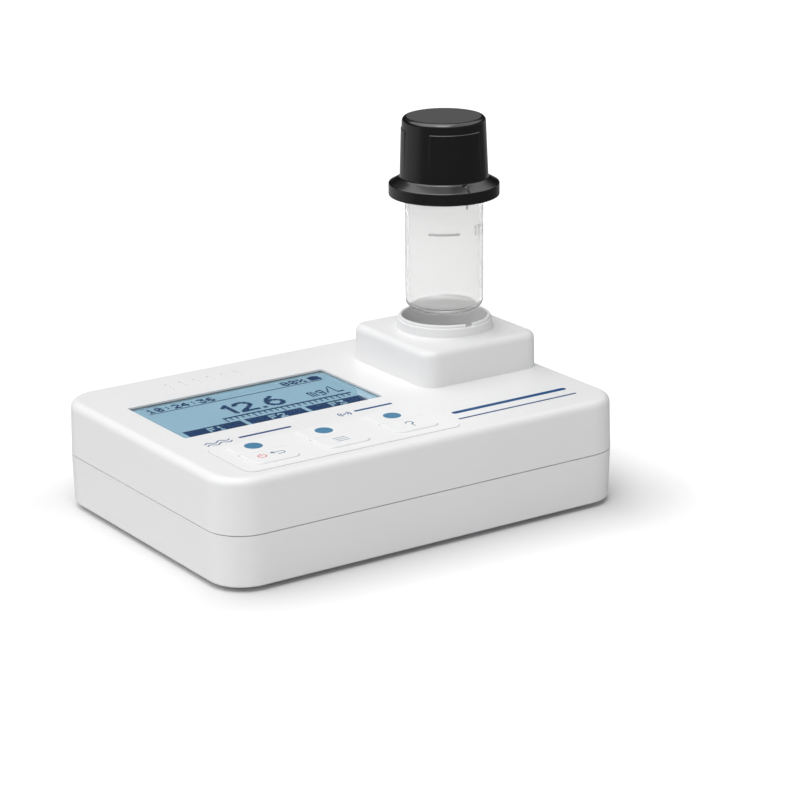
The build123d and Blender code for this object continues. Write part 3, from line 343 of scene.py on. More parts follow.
# %% [markdown]
# ## White case
# Both halves and the battery door are moulded in the same white. The plastic is a little
# shinier than the keypad film, so their highlights differ. The feet and the seals are rubber,
# which is matt. The solids already have their true shape, so a finish is all they need.

# %% Case, keypad and rubber
case_white = finish(
    "case white", (0.90, 0.90, 0.905), 0.42, grain=2600, depth=0.006, drift=0.012,
    Specular_IOR_Level=0.4,
)
film_white = finish(
    "keypad film", (0.905, 0.905, 0.91), 0.5, grain=5200, depth=0.003, drift=0.01,
    Specular_IOR_Level=0.4,
)
seal_dark = finish("seal rubber", (0.045, 0.045, 0.05), 0.7, grain=3500, depth=0.008)
seal_pale = finish("case seal", (0.30, 0.29, 0.28), 0.7, grain=3500, depth=0.008)
foot_black = finish("foot rubber", (0.02, 0.02, 0.02), 0.75, grain=1800, depth=0.02)
key_names = ["soft_key_1", "soft_key_2", "soft_key_3", "power_key", "menu_key", "help_key"]
dress(case_white, "upper_shell", "lower_shell", "battery_door")
dress(film_white, "keypad_overlay", *key_names)
dress(seal_pale, "case_gasket")
dress(seal_dark, "holder_seal", "door_gasket")
dress(foot_black, "rubber_feet")

# %% [markdown]
# ## Inside the case
# The parts inside show when the door or the cuvette is off, so each gets its own finish too:
# green solder mask on fibre glass, black moulding compound on the chips, and a plain dark
# sleeve on the cells. A table holds the numbers, and one loop makes and places the materials.

# %% Plastics inside
PLASTICS = [
    # name, colour, roughness, grains per metre, depth in mm, drift, solids
    ("solder mask", (0.02, 0.16, 0.06), 0.35, 900, 0.01, 0.15,
     ["main_board", "emitter_boards", "detector_boards"]),
    ("moulding compound", (0.02, 0.02, 0.022), 0.6, 6000, 0.004, 0.03,
     ["board_chips", "key_switches", "sounder"]),
    ("black optics block", (0.012, 0.012, 0.013), 0.8, 3000, 0.01, 0.03, ["cuvette_holder"]),
    ("display frame", (0.30, 0.31, 0.31), 0.55, 3000, 0.006, 0.03, ["display_frame"]),
    ("connector nylon", (0.70, 0.64, 0.50), 0.5, 4000, 0.004, 0.03, ["board_connectors"]),
    ("film cable", (0.42, 0.17, 0.03), 0.3, 1200, 0.004, 0.1, ["detector_cable", "emitter_cable"]),
    ("cell sleeve", (0.06, 0.07, 0.09), 0.3, 1500, 0.003, 0.05,
     ["battery_1", "battery_2", "battery_3"]),
    ("wire insulation", (0.45, 0.02, 0.02), 0.45, 3000, 0.003, 0.03, ["battery_leads"]),
    ("membrane", (0.85, 0.85, 0.85), 0.8, 7000, 0.01, 0.03, ["sounder_membrane"]),
    ("diffuser", (0.86, 0.88, 0.90), 0.6, 5000, 0.003, 0.03, ["lcd_backlight"]),
    ("stopper", (0.82, 0.82, 0.80), 0.5, 2500, 0.006, 0.03, ["stopper"]),
]
for name, colour, roughness, grain, depth, drift, solids in PLASTICS:
    dress(finish(name, colour, roughness, grain, depth, drift), *solids)

# %% [markdown]
# Metal is the same maker with Metallic at 1 and stronger wiping marks, and the lenses, lamps
# and filters have their light go through.

# %% Metals and optics inside
nickel = finish(
    "nickel", (0.62, 0.61, 0.58), 0.28, grain=2500, depth=0.002, drift=0.06, wipe=0.15, Metallic=1.0
)
steel = finish(
    "screw steel", (0.55, 0.55, 0.56), 0.35, grain=3500, depth=0.003, drift=0.06, wipe=0.2,
    Metallic=1.0,
)
filter_violet = finish(
    "filter glass", (0.40, 0.28, 0.62), 0.08, grain=800, depth=0.0005, Transmission_Weight=1.0
)
lens_clear = finish(
    "lens", (0.92, 0.95, 0.96), 0.05, grain=800, depth=0.0005, Transmission_Weight=1.0
)
dress(nickel, "contact_plates", "contact_springs", "board_capacitors")
dress(nickel, "radio_module", "photodiodes")
dress(steel, "case_screws", "board_screws", "holder_screws", "door_screw_1", "door_screw_2")
dress(filter_violet, "light_filters")
dress(lens_clear, "leds", "focus_lenses")


# %% [markdown]
# ## Keys under a soft film
# The keys are raised patches of one film, so each has a soft round edge and almost no gap round
# it. The construction gives each key a straight edge and room to move. A bevel would change the
# solid, so a skin over it rounds the edge and fills most of the gap, and moves with its key.

# %% Pads
def rounded_rectangle(half_x, half_y, corners, steps=10):
    """Points round a rectangle: four quarter turns, each about the centre of its corner. The
    corners come in the order of the turn, from the one at +x and +y."""
    t = np.linspace(0, TURN / 4, steps)
    turn = np.concatenate([t + k * TURN / 4 for k in range(4)])
    r = np.repeat(corners, steps)
    side_x = np.repeat([1, -1, -1, 1], steps) * (half_x - r)
    side_y = np.repeat([1, 1, -1, -1], steps) * (half_y - r)
    return np.stack([side_x + r * np.cos(turn), side_y + r * np.sin(turn)], 1)


def pad_surface(centre, half, corners, low, high, edge):
    """A flat pad with a round top edge: each ring is the outline moved inwards by
    edge * (1 - sin t) at the height high - edge * (1 - cos t)."""
    t = np.linspace(TURN / 4, 0, 9)
    inset = np.concatenate([[min(half), 0], edge * (1 - np.sin(t)), [2 * edge, min(half)]])
    height = np.concatenate([[low, low], high - edge * (1 - np.cos(t)), [high, high]])
    rings = [rounded_rectangle(*np.maximum(half - d, 0), np.maximum(corners - d, 0)) for d in inset]
    flat = np.stack(rings) + centre
    z = np.broadcast_to(height[:, None, None], (*flat.shape[:2], 1))
    points = np.concatenate([flat, z], -1)
    return points.reshape(-1, 3), grid_faces(*points.shape[:2])


def middle_and_half(low, high):
    """Middle and half size of a box, seen from above."""
    low, high = np.array(low[:2]), np.array(high[:2])
    return (low + high) / 2, (high - low) / 2


# %% [markdown]
# A key's outer corners are wide and its inner ones tight. The lower keys mirror the upper ones.

# %% Key skins
KEY_EDGE, KEY_GAP, FILM_SKIN = mm(0.45, 0.24, 0.015)
OUTER_CORNER, INNER_CORNER = mm(2.7, 0.5)
film_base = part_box("keypad_overlay")[0].z
key_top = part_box("menu_key")[1].z + FILM_SKIN
upper_key_corners = np.array([OUTER_CORNER, OUTER_CORNER, INNER_CORNER, INNER_CORNER])
key_centres = {}
for name in key_names:
    key_centres[name], half = middle_and_half(*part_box(name))
    corners = upper_key_corners if name.startswith("soft") else upper_key_corners[::-1]
    points, faces = pad_surface(
        key_centres[name], half + KEY_GAP, corners, film_base, key_top, KEY_EDGE
    )
    new_piece(f"{name}_skin", points, faces, name, "key_white", film_white)


# %% [markdown]
# ## Ink
# Printed marks are thin layers with round ends, as a screen print has. One helper makes them
# all: it lays a ribbon along a line. A dot is the same ribbon with no length. A texture could
# hold the marks too, but a mesh stays sharp from close by.

# %% Ink ribbons
INK_HEIGHT = mm(0.02)[0]


def ink_stroke(path, width, steps=7):
    """Ribbon along a path: half width r * sin t over each round end and r between them, with
    four corners at each step. Returns (across, along, above) as a grid, and its faces."""
    path = np.asarray(path, float)
    r = width / 2
    t = np.linspace(0, TURN / 4, steps)
    first = (path[1] - path[0]) / np.linalg.norm(path[1] - path[0])
    last = (path[-1] - path[-2]) / np.linalg.norm(path[-1] - path[-2])
    start_cap = path[0] - first * r * np.cos(t[:-1, None])
    end_cap = path[-1] + last * r * np.sin(t[1:, None])
    centre = np.concatenate([start_cap, path, end_cap])
    half = np.concatenate([r * np.sin(t[:-1]), np.full(len(path), r), r * np.cos(t[1:])])
    ahead = np.gradient(centre, axis=0)
    ahead /= np.linalg.norm(ahead, axis=1)[:, None]
    across = np.stack([-ahead[:, 1], ahead[:, 0]], 1) * half[:, None]
    flat = np.stack([centre - across, centre + across, centre + across, centre - across], 1)
    layers = np.array([0, 0, INK_HEIGHT, INK_HEIGHT])[:, None]
    points = np.concatenate([flat, np.broadcast_to(layers, (len(centre), 4, 1))], -1)
    return points.reshape(-1, 3), grid_faces(len(centre), 4)


def dot(centre, diameter):
    """A round dot: a ribbon with no length, as wide as the dot."""
    return ink_stroke([centre, np.add(centre, (1e-7, 0))], diameter, steps=17)


def arc(centre, radius, start, end, steps=24):
    """Points of an arc: the centre plus the radius times (cos, sin) of an angle in degrees."""
    t = np.radians(np.linspace(start, end, steps))
    return np.asarray(centre) + radius * np.stack([np.cos(t), np.sin(t)], 1)


# %% [markdown]
# A mark is often several ribbons. They are joined to one mesh, which is then laid on a level
# surface. All the inks are matt and opaque, so one function makes them from a colour.

# %% Prints and inks
def joined(shapes):
    """Several (points, faces) as one, with the faces of each counted on from the last."""
    starts = np.cumsum([0] + [len(points) for points, faces in shapes[:-1]])
    return (
        np.concatenate([points for points, faces in shapes]),
        np.concatenate([faces + start for (points, faces), start in zip(shapes, starts)]),
    )


def print_flat(name, shapes, height, body, slot, ink):
    """Lays ink on a level surface at a height."""
    points, faces = joined(shapes)
    return new_piece(name, points + [0, 0, height], faces, body, slot, ink, sharp=1.0)


def screen_ink(name, colour, roughness=0.5):
    """A matt ink with a faint grain."""
    return finish(
        name, colour, roughness, grain=5000, depth=0.002, drift=0.05, Specular_IOR_Level=0.15
    )


# %% [markdown]
# ## Symbols on the keys
# Each upper key has a round blue dot, which stands for the label shown above it on the display.

# %% Key dots
dot_blue = screen_ink("dot ink", (0.082, 0.238, 0.392), 0.55)
symbol_blue = screen_ink("symbol ink", (0.10, 0.20, 0.30), 0.55)
power_red = screen_ink("power ink", (0.72, 0.12, 0.13), 0.55)
DOT_SIZE, DOT_SHIFT = 5.5 * MM, mm(0, -0.1)
for name in key_names[:3]:
    key_dot = dot(key_centres[name] + DOT_SHIFT, DOT_SIZE)
    print_flat(f"{name}_dot", [key_dot], key_top, name, "key_white", dot_blue)

# %% [markdown]
# The lower keys have symbols of a few strokes: back and power on one key, menu, and help.
# Each is drawn round a place given from the middle of its key.

# %% Key symbols
LINE, MENU_LINE, HELP_LINE = mm(0.35, 0.3, 0.42)
back_place = key_centres["power_key"] + mm(2.9, 0.4)
back_turn = arc(back_place + mm(1.0, -0.1), 0.9 * MM, 90, -90)
back_tip, back_end = back_place + mm(-2.2, 0.8), back_place + mm(-0.6, -1.0)
back_strokes = [
    ink_stroke(np.concatenate([[back_tip], back_turn, [back_end]]), LINE),
    ink_stroke([back_place + mm(-1.3, 1.5), back_tip], LINE),
    ink_stroke([back_place + mm(-1.3, 0.1), back_tip], LINE),
]
print_flat("back_symbol", back_strokes, key_top, "power_key", "key_white", symbol_blue)

power_place = key_centres["power_key"] + mm(-2.7, 0.3)
power_strokes = [
    ink_stroke(arc(power_place, 1.25 * MM, 125, 415, 40), LINE),
    ink_stroke(power_place + mm((0, 0.4), (0, 1.7)), LINE),
]
print_flat("power_symbol", power_strokes, key_top, "power_key", "key_white", power_red)

menu_place = key_centres["menu_key"] + mm(0, 0.2)
menu_strokes = [
    ink_stroke(menu_place + mm((-2.1, y), (2.1, y)), MENU_LINE) for y in (-1.4, 0.0, 1.4)
]
print_flat("menu_symbol", menu_strokes, key_top, "menu_key", "key_white", symbol_blue)

help_place = key_centres["help_key"] + mm(0.3, 0.9)
help_bow = arc(help_place, 1.15 * MM, 165, -35)
help_stem = arc(help_place + mm(1.35, -1.85), 1.35 * MM, 125, 180, 10)
help_strokes = [
    ink_stroke(np.concatenate([help_bow, help_stem]), HELP_LINE),
    dot(help_place + mm(0, -2.75), 0.62 * MM),
]
print_flat("help_symbol", help_strokes, key_top, "help_key", "key_white", symbol_blue)

# %% [markdown]
# ## Print on the case
# The case is screen printed in two blues: a bold and a thin bar at the right of the keys, and
# two short bars over them.

# %% Bars
print_blue = screen_ink("bold print", (0.008, 0.078, 0.23))
print_navy = screen_ink("fine print", (0.03, 0.085, 0.21))
CASE_TOP = 34.4 * MM
BARS = [
    # name, start, end, width in mm
    ("bold_bar", (18.8, -34.4), (59.6, -34.4), 2.0, print_blue),
    ("thin_bar", (16.6, -40.1), (60.0, -40.1), 0.9, print_navy),
    ("wide_bar", (-46.0, -16.9), (-29.0, -16.9), 1.2, print_navy),
    ("radio_bar", (-4.6, -15.6), (8.0, -15.6), 1.2, print_blue),
]
for name, start, end, width, ink in BARS:
    bar = ink_stroke(mm(start, end), width * MM)
    print_flat(name, [bar], CASE_TOP, "case", "case_white", ink)

# %% [markdown]
# Two signs stand before the short bars: radio waves, as arcs on both sides of a dot, and water,
# as two wavy lines.

# %% Signs
radio_place = mm(-9.0, -16.2)
radio_arcs = [
    ink_stroke(arc(radio_place, r * MM, side - 42, side + 42, 16), 0.4 * MM)
    for r in (1.2, 2.0)
    for side in (0, 180)
]
radio_sign = [dot(radio_place, 0.9 * MM), *radio_arcs]
print_flat("radio_sign", radio_sign, CASE_TOP, "case", "case_white", print_blue)

t = np.linspace(0, 1, 60)[:, None]
wave = np.concatenate([8.6 * t - 58.0, 0.75 * t - 18.6 + 0.6 * np.sin(2 * TURN * t)], 1)
wave_sign = [ink_stroke((wave + [0, rise]) * MM, 0.42 * MM) for rise in (0.0, 1.7)]
print_flat("wave_sign", wave_sign, CASE_TOP, "case", "case_white", print_blue)

# %% [markdown]
# ## Slots over the sounder
# Sound leaves through six slots behind the display. A white felt strip sits close under them
# against dust and splashes, so they look like shallow grooves and not like dark holes.

# %% Felt strip
membrane_low, membrane_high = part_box("sounder_membrane")
SLOT_COUNT = 6
SLOT_MARGIN, SLOT_WIDTH, SLOT_PITCH = mm(2.2, 0.9, 5.0)
FELT_GAP, FELT_DEPTH, FELT_EDGE = mm(0.02, 0.35, 0.1)
slot_middle, membrane_half = middle_and_half(membrane_low, membrane_high)
slot_half = np.array([SLOT_WIDTH / 2, membrane_half[1] - SLOT_MARGIN]) - FELT_GAP
felt_corners = np.full(4, slot_half[0] * 0.98)
felt = [
    pad_surface(
        slot_middle + [step * SLOT_PITCH, 0], slot_half, felt_corners, membrane_high.z,
        CASE_TOP - FELT_DEPTH, FELT_EDGE,
    )
    for step in np.arange(SLOT_COUNT) - (SLOT_COUNT - 1) / 2
]
membrane_white = bpy.data.materials["membrane"]
new_piece("slot_felt", *joined(felt), "case", "membrane_white", membrane_white)

# %% [markdown]
# ## Display
# The display is a field of 128 by 64 square dots. Each glyph is seven rows of five dots, written
# as seven pairs of hexadecimal digits. A picture would blur from close by, so each dot that is
# lit becomes a small box of its own.

# %% Dot field
GLYPHS = {
    "0": "0E11131519110E", "1": "040C040404040E", "2": "0E11010204081F", "3": "1F02040201110E",
    "4": "02060A121F0202", "6": "0608101E11110E", "8": "0E11110E11110E", ":": "00040000040000",
    "%": "18190204081303", "m": "00001A15151515", "g": "00000F110F010E", "/": "00010204081000",
    "L": "1010101010101F", "F": "1F10101E101010",
}
ROWS, COLUMNS, PITCH = 64, 128, 0.5 * MM
lit = np.zeros((ROWS, COLUMNS), bool)


def glyph_dots(text, tall=False):
    """Bits of each row of each glyph, five wide with one dot between glyphs. A tall text has
    every row twice, and any other has strokes two dots high, so a low camera can read it."""
    rows = np.array([[int(GLYPHS[c][2 * k : 2 * k + 2], 16) for k in range(7)] for c in text])
    bits = rows[:, :, None] >> np.arange(4, -1, -1) & 1
    spaced = np.concatenate([bits, np.zeros((len(text), 7, 1), int)], 2)
    dots = spaced.transpose(1, 0, 2).reshape(7, -1)[:, :-1].astype(bool)
    if tall:
        return np.repeat(dots, 2, axis=0)
    return np.pad(dots, ((0, 1), (0, 0))) | np.pad(dots, ((1, 0), (0, 0)))


def write_dots(text, row, column, tall=False):
    """Turns over the dots of a text, with its first dot at a row and column."""
    dots = glyph_dots(text, tall)
    lit[row : row + len(dots), column : column + dots.shape[1]] ^= dots


print("display of", COLUMNS, "by", ROWS, "dots")

# %% [markdown]
# The top row has the time and the battery, with a line under it. The unit stands at the right,
# a scale with ticks runs below the number, and three dark bars label the keys, with their text
# in dots that are turned off.

# %% Small text and bars
write_dots("10:24:36", 1, 3)
write_dots("80%", 1, 99)
write_dots("mg/L", 24, 102, tall=True)
lit[10, 2:126] = True
lit[2:9, 119:127] = True
lit[1, 121:125] = True
lit[42:44, 34:126] = True
lit[44:48, 34:126:4] = True
lit[44:50, 34:126:20] = True
for number, (start, end) in enumerate(((1, 41), (44, 84), (87, 127)), 1):
    lit[51:63, start:end] = True
    write_dots(f"F{number}", 53, (start + end) // 2 - 5)
print("small dots lit:", int(lit.sum()))


# %% [markdown]
# The big number is drawn with strokes: a dot is lit where its distance to the line of a figure
# is less than half of the stroke. A figure's line is in a unit square with its top at 0.

# %% Big number
def bow(middle, radius, start, end):
    """Points of a bow: x is 0.5 + 0.5 cos t and y is the middle - radius * sin t, t in degrees."""
    t = np.radians(np.linspace(start, end, 40))
    return np.stack([0.5 + 0.5 * np.cos(t), middle - radius * np.sin(t)], 1)


def draw_number(figures, top, height, stroke):
    """Lights each dot whose distance to a figure's line is under half of the stroke. The
    distance to a segment is taken from the nearest of its points, held between its ends."""
    rows, columns = np.mgrid[0:ROWS, 0:COLUMNS]
    here = np.stack([columns, rows], -1).astype(float)[:, :, None]
    for line, left, width in figures:
        path = np.asarray(line) * (width, height) + (left, top)
        a, b = path[:-1], path[1:]
        along = ((here - a) * (b - a)).sum(-1) / np.maximum(((b - a) ** 2).sum(-1), 1e-9)
        nearest = a + np.clip(along, 0, 1)[..., None] * (b - a)
        lit[np.linalg.norm(here - nearest, axis=-1).min(-1) < stroke / 2] = True


one = [(0.15, 0.22), (0.55, 0.0), (0.55, 1.0)]
two = np.concatenate([bow(0.29, 0.29, 165, -35), [(0.0, 1.0), (1.0, 1.0)]])
point = [(0.5, 1.0), (0.5, 0.995)]
six_ring = bow(0.70, 0.30, 0, 360)
six_tail = [(0.78, 0.0), (0.35, 0.18), (0.06, 0.50), (0.0, 0.70)]
figures = [(one, 43, 8), (two, 52, 10), (point, 64.5, 5), (six_ring, 72, 10), (six_tail, 72, 10)]
draw_number(figures, top=21.0, height=16.0, stroke=3.1)
print("all dots lit:", int(lit.sum()))

# %% [markdown]
# A lit dot is a thin box on the glass of the display. All the boxes are worked out at once: the
# middle of every dot plus the eight corners of a box. Both inks have no gloss of their own, as
# the only shiny surface is the window above them.

# %% Lit dots
DOT_HALF = 0.495 * PITCH
row, column = np.nonzero(lit)
display_middle = middle_and_half(window_low, window_high)[0]
x = display_middle[0] + (column + 0.5 - COLUMNS / 2) * PITCH
y = display_middle[1] - (row + 0.5 - ROWS / 2) * PITCH
middle = np.stack([x, y, np.full(len(x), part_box("lcd_glass")[1].z)], 1)
corner = np.array([[i, j, k] for k in (0, 1) for i, j in ((-1, -1), (1, -1), (1, 1), (-1, 1))])
points = (middle[:, None] + corner * [DOT_HALF, DOT_HALF, INK_HEIGHT]).reshape(-1, 3)
sides = np.array(
    [[0, 3, 2, 1], [4, 5, 6, 7], [0, 1, 5, 4], [1, 2, 6, 5], [2, 3, 7, 6], [3, 0, 4, 7]]
)
faces = (sides + 8 * np.arange(len(x))[:, None, None]).reshape(-1, 4)
lcd_blue = finish(
    "display", (0.235, 0.385, 0.475), 0.5, grain=2000, depth=0.001, drift=0.03,
    Specular_IOR_Level=0.0,
)
lcd_navy = finish(
    "display dots", (0.003, 0.030, 0.10), 0.5, grain=2000, depth=0.001, drift=0.05,
    Specular_IOR_Level=0.0,
)
dress(lcd_blue, "lcd_glass")
new_piece("display_dots", points, faces, "case", "display_panel", lcd_navy)

# %% [markdown]
# ## Clear parts
# The window and the cuvette are clear. Light that reaches what lies under them would have to be
# traced through two surfaces, which leaves noise, so most of a shadow ray passes them. Their
# alpha is one for every other ray.

# %% Window and glass
def let_light_through(material, keep):
    """Alpha is 1 for what is seen, and keep for shadow rays."""
    tree = material.node_tree
    shadow = put(tree, "ShaderNodeLightPath").outputs["Is Shadow Ray"]
    alpha = ramp(tree, shadow, 0.0, 1.0, 1.0, keep)
    tree.links.new(alpha, tree.nodes["Principled BSDF"].inputs["Alpha"])
    return material


window_clear = finish(
    "display window", (0.97, 0.98, 0.985), 0.03, grain=600, depth=0.0001, drift=0.0, wipe=0.02,
    Transmission_Weight=1.0, IOR=1.2,
)
clear_glass = finish(
    "cuvette glass", (0.925, 0.925, 0.92), 0.1, grain=500, depth=0.00002, drift=0.004,
    wipe=0.01, Transmission_Weight=0.86, IOR=1.15,
)
let_light_through(window_clear, keep=0.06)
let_light_through(clear_glass, keep=0.05)
dress(window_clear, "display_window")

# %% [markdown]
# The cuvette is drawn as one closed wall: its outside goes up from the middle of the base, over
# the rim of the neck, and its inside comes down again. A Solidify modifier gives one thickness,
# but base, wall and neck differ, so both sides are drawn. Every corner is fire-polished round.

# %% Cuvette
base, top, radius = glass_low.z / MM, glass_high.z / MM, glass_radius / MM
WALL, BASE_WALL, NECK, NECK_WALL = 1.1, 1.7, 10.0, 1.4
SHOULDER, NECK_START = base + 37.72, base + 39.52
cuvette_corners = [
    (0, base), (radius, base), (radius, SHOULDER), (NECK, NECK_START), (NECK, top),
    (NECK - NECK_WALL, top), (NECK - NECK_WALL, NECK_START - 0.4),
    (radius - WALL, SHOULDER - 0.8), (radius - WALL, base + BASE_WALL), (0, base + BASE_WALL),
]
CUVETTE_RADII = (3.5, 1.0, 0.5, 0.6, 0.6, 0.5, 1.0, 1.8)
cuvette_profile = rounded_profile(cuvette_corners, CUVETTE_RADII, arc_steps=13)
cuvette_profile = stretched(cuvette_profile, longest=3.0) * MM
GLASS_COLUMNS = 384
glass_angles = np.linspace(0, TURN, GLASS_COLUMNS + 1)[:-1]
cuvette_points = turned(cuvette_profile[:, :1], cuvette_profile[:, 1:], glass_angles)
faces = grid_faces(*cuvette_points.shape[:2])
cuvette = new_piece(
    "cuvette_wall", cuvette_points.reshape(-1, 3), faces, "cuvette", "cuvette_glass",
    clear_glass, sharp=1.2,
)
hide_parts("cuvette_glass")


# %% [markdown]
# The fill line, the small tick that lines up with the notch and the volume are printed on the
# outside of the glass. They are drawn flat, as (distance round, height), and wrapped.

# %% Marks on the glass
PRINT_LIFT = mm(0.004)[0]


def print_round(name, shapes, start, height, ink):
    """Wraps ink round the glass: a distance u becomes the angle start + u / radius."""
    points, faces = joined(shapes)
    angle = np.radians(start) + points[:, 0] / glass_radius
    wrapped = turned(glass_radius + PRINT_LIFT + points[:, 2], height + points[:, 1], angle)
    return new_piece(name, wrapped, faces, "cuvette", "cuvette_glass", ink, sharp=1.0)


def line_round(start, end, width):
    """A level line between two angles, in degrees, with a point every degree."""
    u = np.radians(np.arange(0, end - start + 0.5)) * glass_radius
    return ink_stroke(np.stack([u, 0 * u], 1), width)


glass_ink = finish("glass print", (0.70, 0.70, 0.69), 0.6, grain=5000, depth=0.004, drift=0.2)
FILL_LINE, TICK_HEIGHT = mm(79.0, 87.4)
LINE_START, LINE_END, TICK_ANGLE = -147.0, -102.7, -89.5
fill_line = line_round(LINE_START, LINE_END, 0.75 * MM)
print_round("fill_line", [fill_line], LINE_START, FILL_LINE, glass_ink)
tick = ink_stroke(mm((0, -0.5), (0, 0.7)), 0.6 * MM)
print_round("glass_tick", [tick], TICK_ANGLE, TICK_HEIGHT, glass_ink)

# %% [markdown]
# The volume is seen from the side, so it is drawn with a few plain strokes: a one, a nought and
# four uprights for the unit.

# %% Volume
faint_ink = finish("faint glass print", (0.76, 0.76, 0.75), 0.6, grain=5000, depth=0.004, drift=0.2)
VOLUME_ANGLE, DIGIT_LINE, LETTER_LINE = -76.0, 0.28 * MM, 0.22 * MM
nought = arc((0, 0), 1, 0, 359, 30) * mm(0.85, 1.6) + mm(2.9, 0)
letter_lines = [
    mm((5.2, -0.6), (5.2, 0.7)), mm((5.9, -0.6), (5.9, 0.6)), mm((6.6, -0.6), (6.6, 0.6)),
    mm((7.4, 1.2), (7.4, -0.6), (8.3, -0.6)),
]
volume = [
    ink_stroke(mm((0.2, 1.0), (0.9, 1.6), (0.9, -1.6)), DIGIT_LINE),
    ink_stroke(nought, DIGIT_LINE),
    *[ink_stroke(line, LETTER_LINE) for line in letter_lines],
]
print_round("volume_mark", volume, VOLUME_ANGLE, FILL_LINE + 0.3 * MM, faint_ink)

# %% [markdown]
# ## Cap
# The cap is turned too, but its side carries three raised grips and its flange has a V notch.
# First comes its profile, in millimetres: up inside over the neck, down to the shoulder of the
# glass, out under the flange, up the slope and the side, and in over the top.

# %% Cap profile
cap_base, cap_top = cap_low.z / MM, cap_high.z / MM
FLANGE = (cap_high.x - cap_low.x) / 2 / MM
SLOPE_START, SLOPE_END = cap_base + 3.8, cap_base + 5.7
GRIP_BASE, GRIP_TOP, GRIP_EDGE, LEDGE = 13.9, 13.05, cap_top - 3.6, 0.08
STOPPER_ROOM, NECK_ROOM, SHOULDER_ROOM = 9.2, 10.35, 15.5
ROOM_TOP, NECK_TOP, NECK_FOOT = cap_top - 2.2, cap_base + 12.55, cap_base + 5.8
RELIEF_TOP, RELIEF_FOOT = cap_base + 4.3, cap_base + 3.5
RELIEF_INSIDE, RELIEF_OUTSIDE = 12.65, 15.0


def side_radius(height):
    """Radius of the side of the cap: a straight taper from GRIP_BASE to GRIP_TOP."""
    share = (height - SLOPE_END) / (cap_top - SLOPE_END)
    return GRIP_BASE + (GRIP_TOP - GRIP_BASE) * share


cap_corners = [
    (0, ROOM_TOP), (STOPPER_ROOM, ROOM_TOP), (STOPPER_ROOM, NECK_TOP), (NECK_ROOM, NECK_TOP),
    (NECK_ROOM, NECK_FOOT), (RELIEF_INSIDE, RELIEF_TOP), (RELIEF_OUTSIDE, RELIEF_TOP),
    (SHOULDER_ROOM, RELIEF_FOOT), (SHOULDER_ROOM, cap_base), (FLANGE, cap_base),
    (FLANGE, SLOPE_START), (GRIP_BASE, SLOPE_END),
    (side_radius(GRIP_EDGE - LEDGE), GRIP_EDGE - LEDGE),
    (side_radius(GRIP_EDGE + LEDGE), GRIP_EDGE + LEDGE), (GRIP_TOP, cap_top), (0, cap_top),
]
CAP_RADII = (0.4, 0.1, 0.1, 0.1, 0.1, 0.1, 0.1, 0.15, 0.3, 0.3, 0.8, 0, 0, 1.4)
cap_profile = stretched(rounded_profile(cap_corners, CAP_RADII, arc_steps=9), longest=0.7)
print("cap profile:", len(cap_profile), "points from", round(cap_base, 2), "to", round(cap_top, 2))


# %% [markdown]
# A grip adds a little to the radius where the angle and the height fall inside it, and the notch
# lowers the slope of the flange where the point falls inside the V. Booleans could cut both, but
# they leave long thin faces, which show in black gloss. The columns are set closer at the edges
# of the grips and at the notch, where the shape changes fast.

# %% Cap surface
def smooth_step(t):
    """0 below 0, 1 above 1, and 3t^2 - 2t^3 between them."""
    t = np.clip(t, 0, 1)
    return t * t * (3 - 2 * t)


def angle_from(angles, centre):
    """Angle between two directions, from 0 to half a turn."""
    return np.abs(np.mod(angles - centre + TURN / 2, TURN) - TURN / 2)


GRIP_CENTRES = np.radians(-107 + 120 * np.arange(3))[:, None]
GRIP_HALF, GRIP_SOFT, GRIP_HEIGHT = np.radians(38), np.radians(0.9), 0.2
NOTCH_ANGLE, NOTCH_HALF, NOTCH_DEPTH = np.radians(-98), 1.1, 0.6
grip_edges = (GRIP_CENTRES + [-GRIP_HALF, GRIP_HALF]).reshape(-1, 1)
near_edges = (grip_edges + np.radians([-1.2, -0.6, 0, 0.6, 1.2])).ravel()
near_notch = NOTCH_ANGLE + np.radians(np.linspace(-6, 6, 41))
cap_angles = np.concatenate([glass_angles[::2], near_edges, near_notch])
cap_angles = np.unique(np.mod(cap_angles, TURN).round(6))

r, z = cap_profile[:, :1], cap_profile[:, 1:]
outside = np.arange(len(r))[:, None] > np.argmax(r)
from_grip = angle_from(cap_angles, GRIP_CENTRES).min(0)
in_grip = smooth_step((GRIP_HALF - from_grip) / GRIP_SOFT)
rise = np.clip((z - SLOPE_END - 1) / (GRIP_EDGE - SLOPE_END - 1), 0, 1) * (z < GRIP_EDGE)
from_notch = angle_from(cap_angles, NOTCH_ANGLE) * r
up_slope = np.clip((z - SLOPE_START) / (SLOPE_END - SLOPE_START), 0, 1)
in_notch = np.clip(1 - from_notch / (NOTCH_HALF * up_slope + 1e-6), 0, 1)
on_slope = outside & (z < SLOPE_END + 0.02)
cap_points = turned(
    (r + GRIP_HEIGHT * in_grip * rise * outside) * MM,
    (z - NOTCH_DEPTH * in_notch * on_slope) * MM,
    cap_angles,
)
print("cap surface:", cap_points.shape[0], "rows of", cap_points.shape[1], "points")

# %% [markdown]
# The top of the cap has a spark-eroded disc, matt and a little paler, inside a polished rim. One
# material does both: a mask from the height and the distance to the axis picks between them.

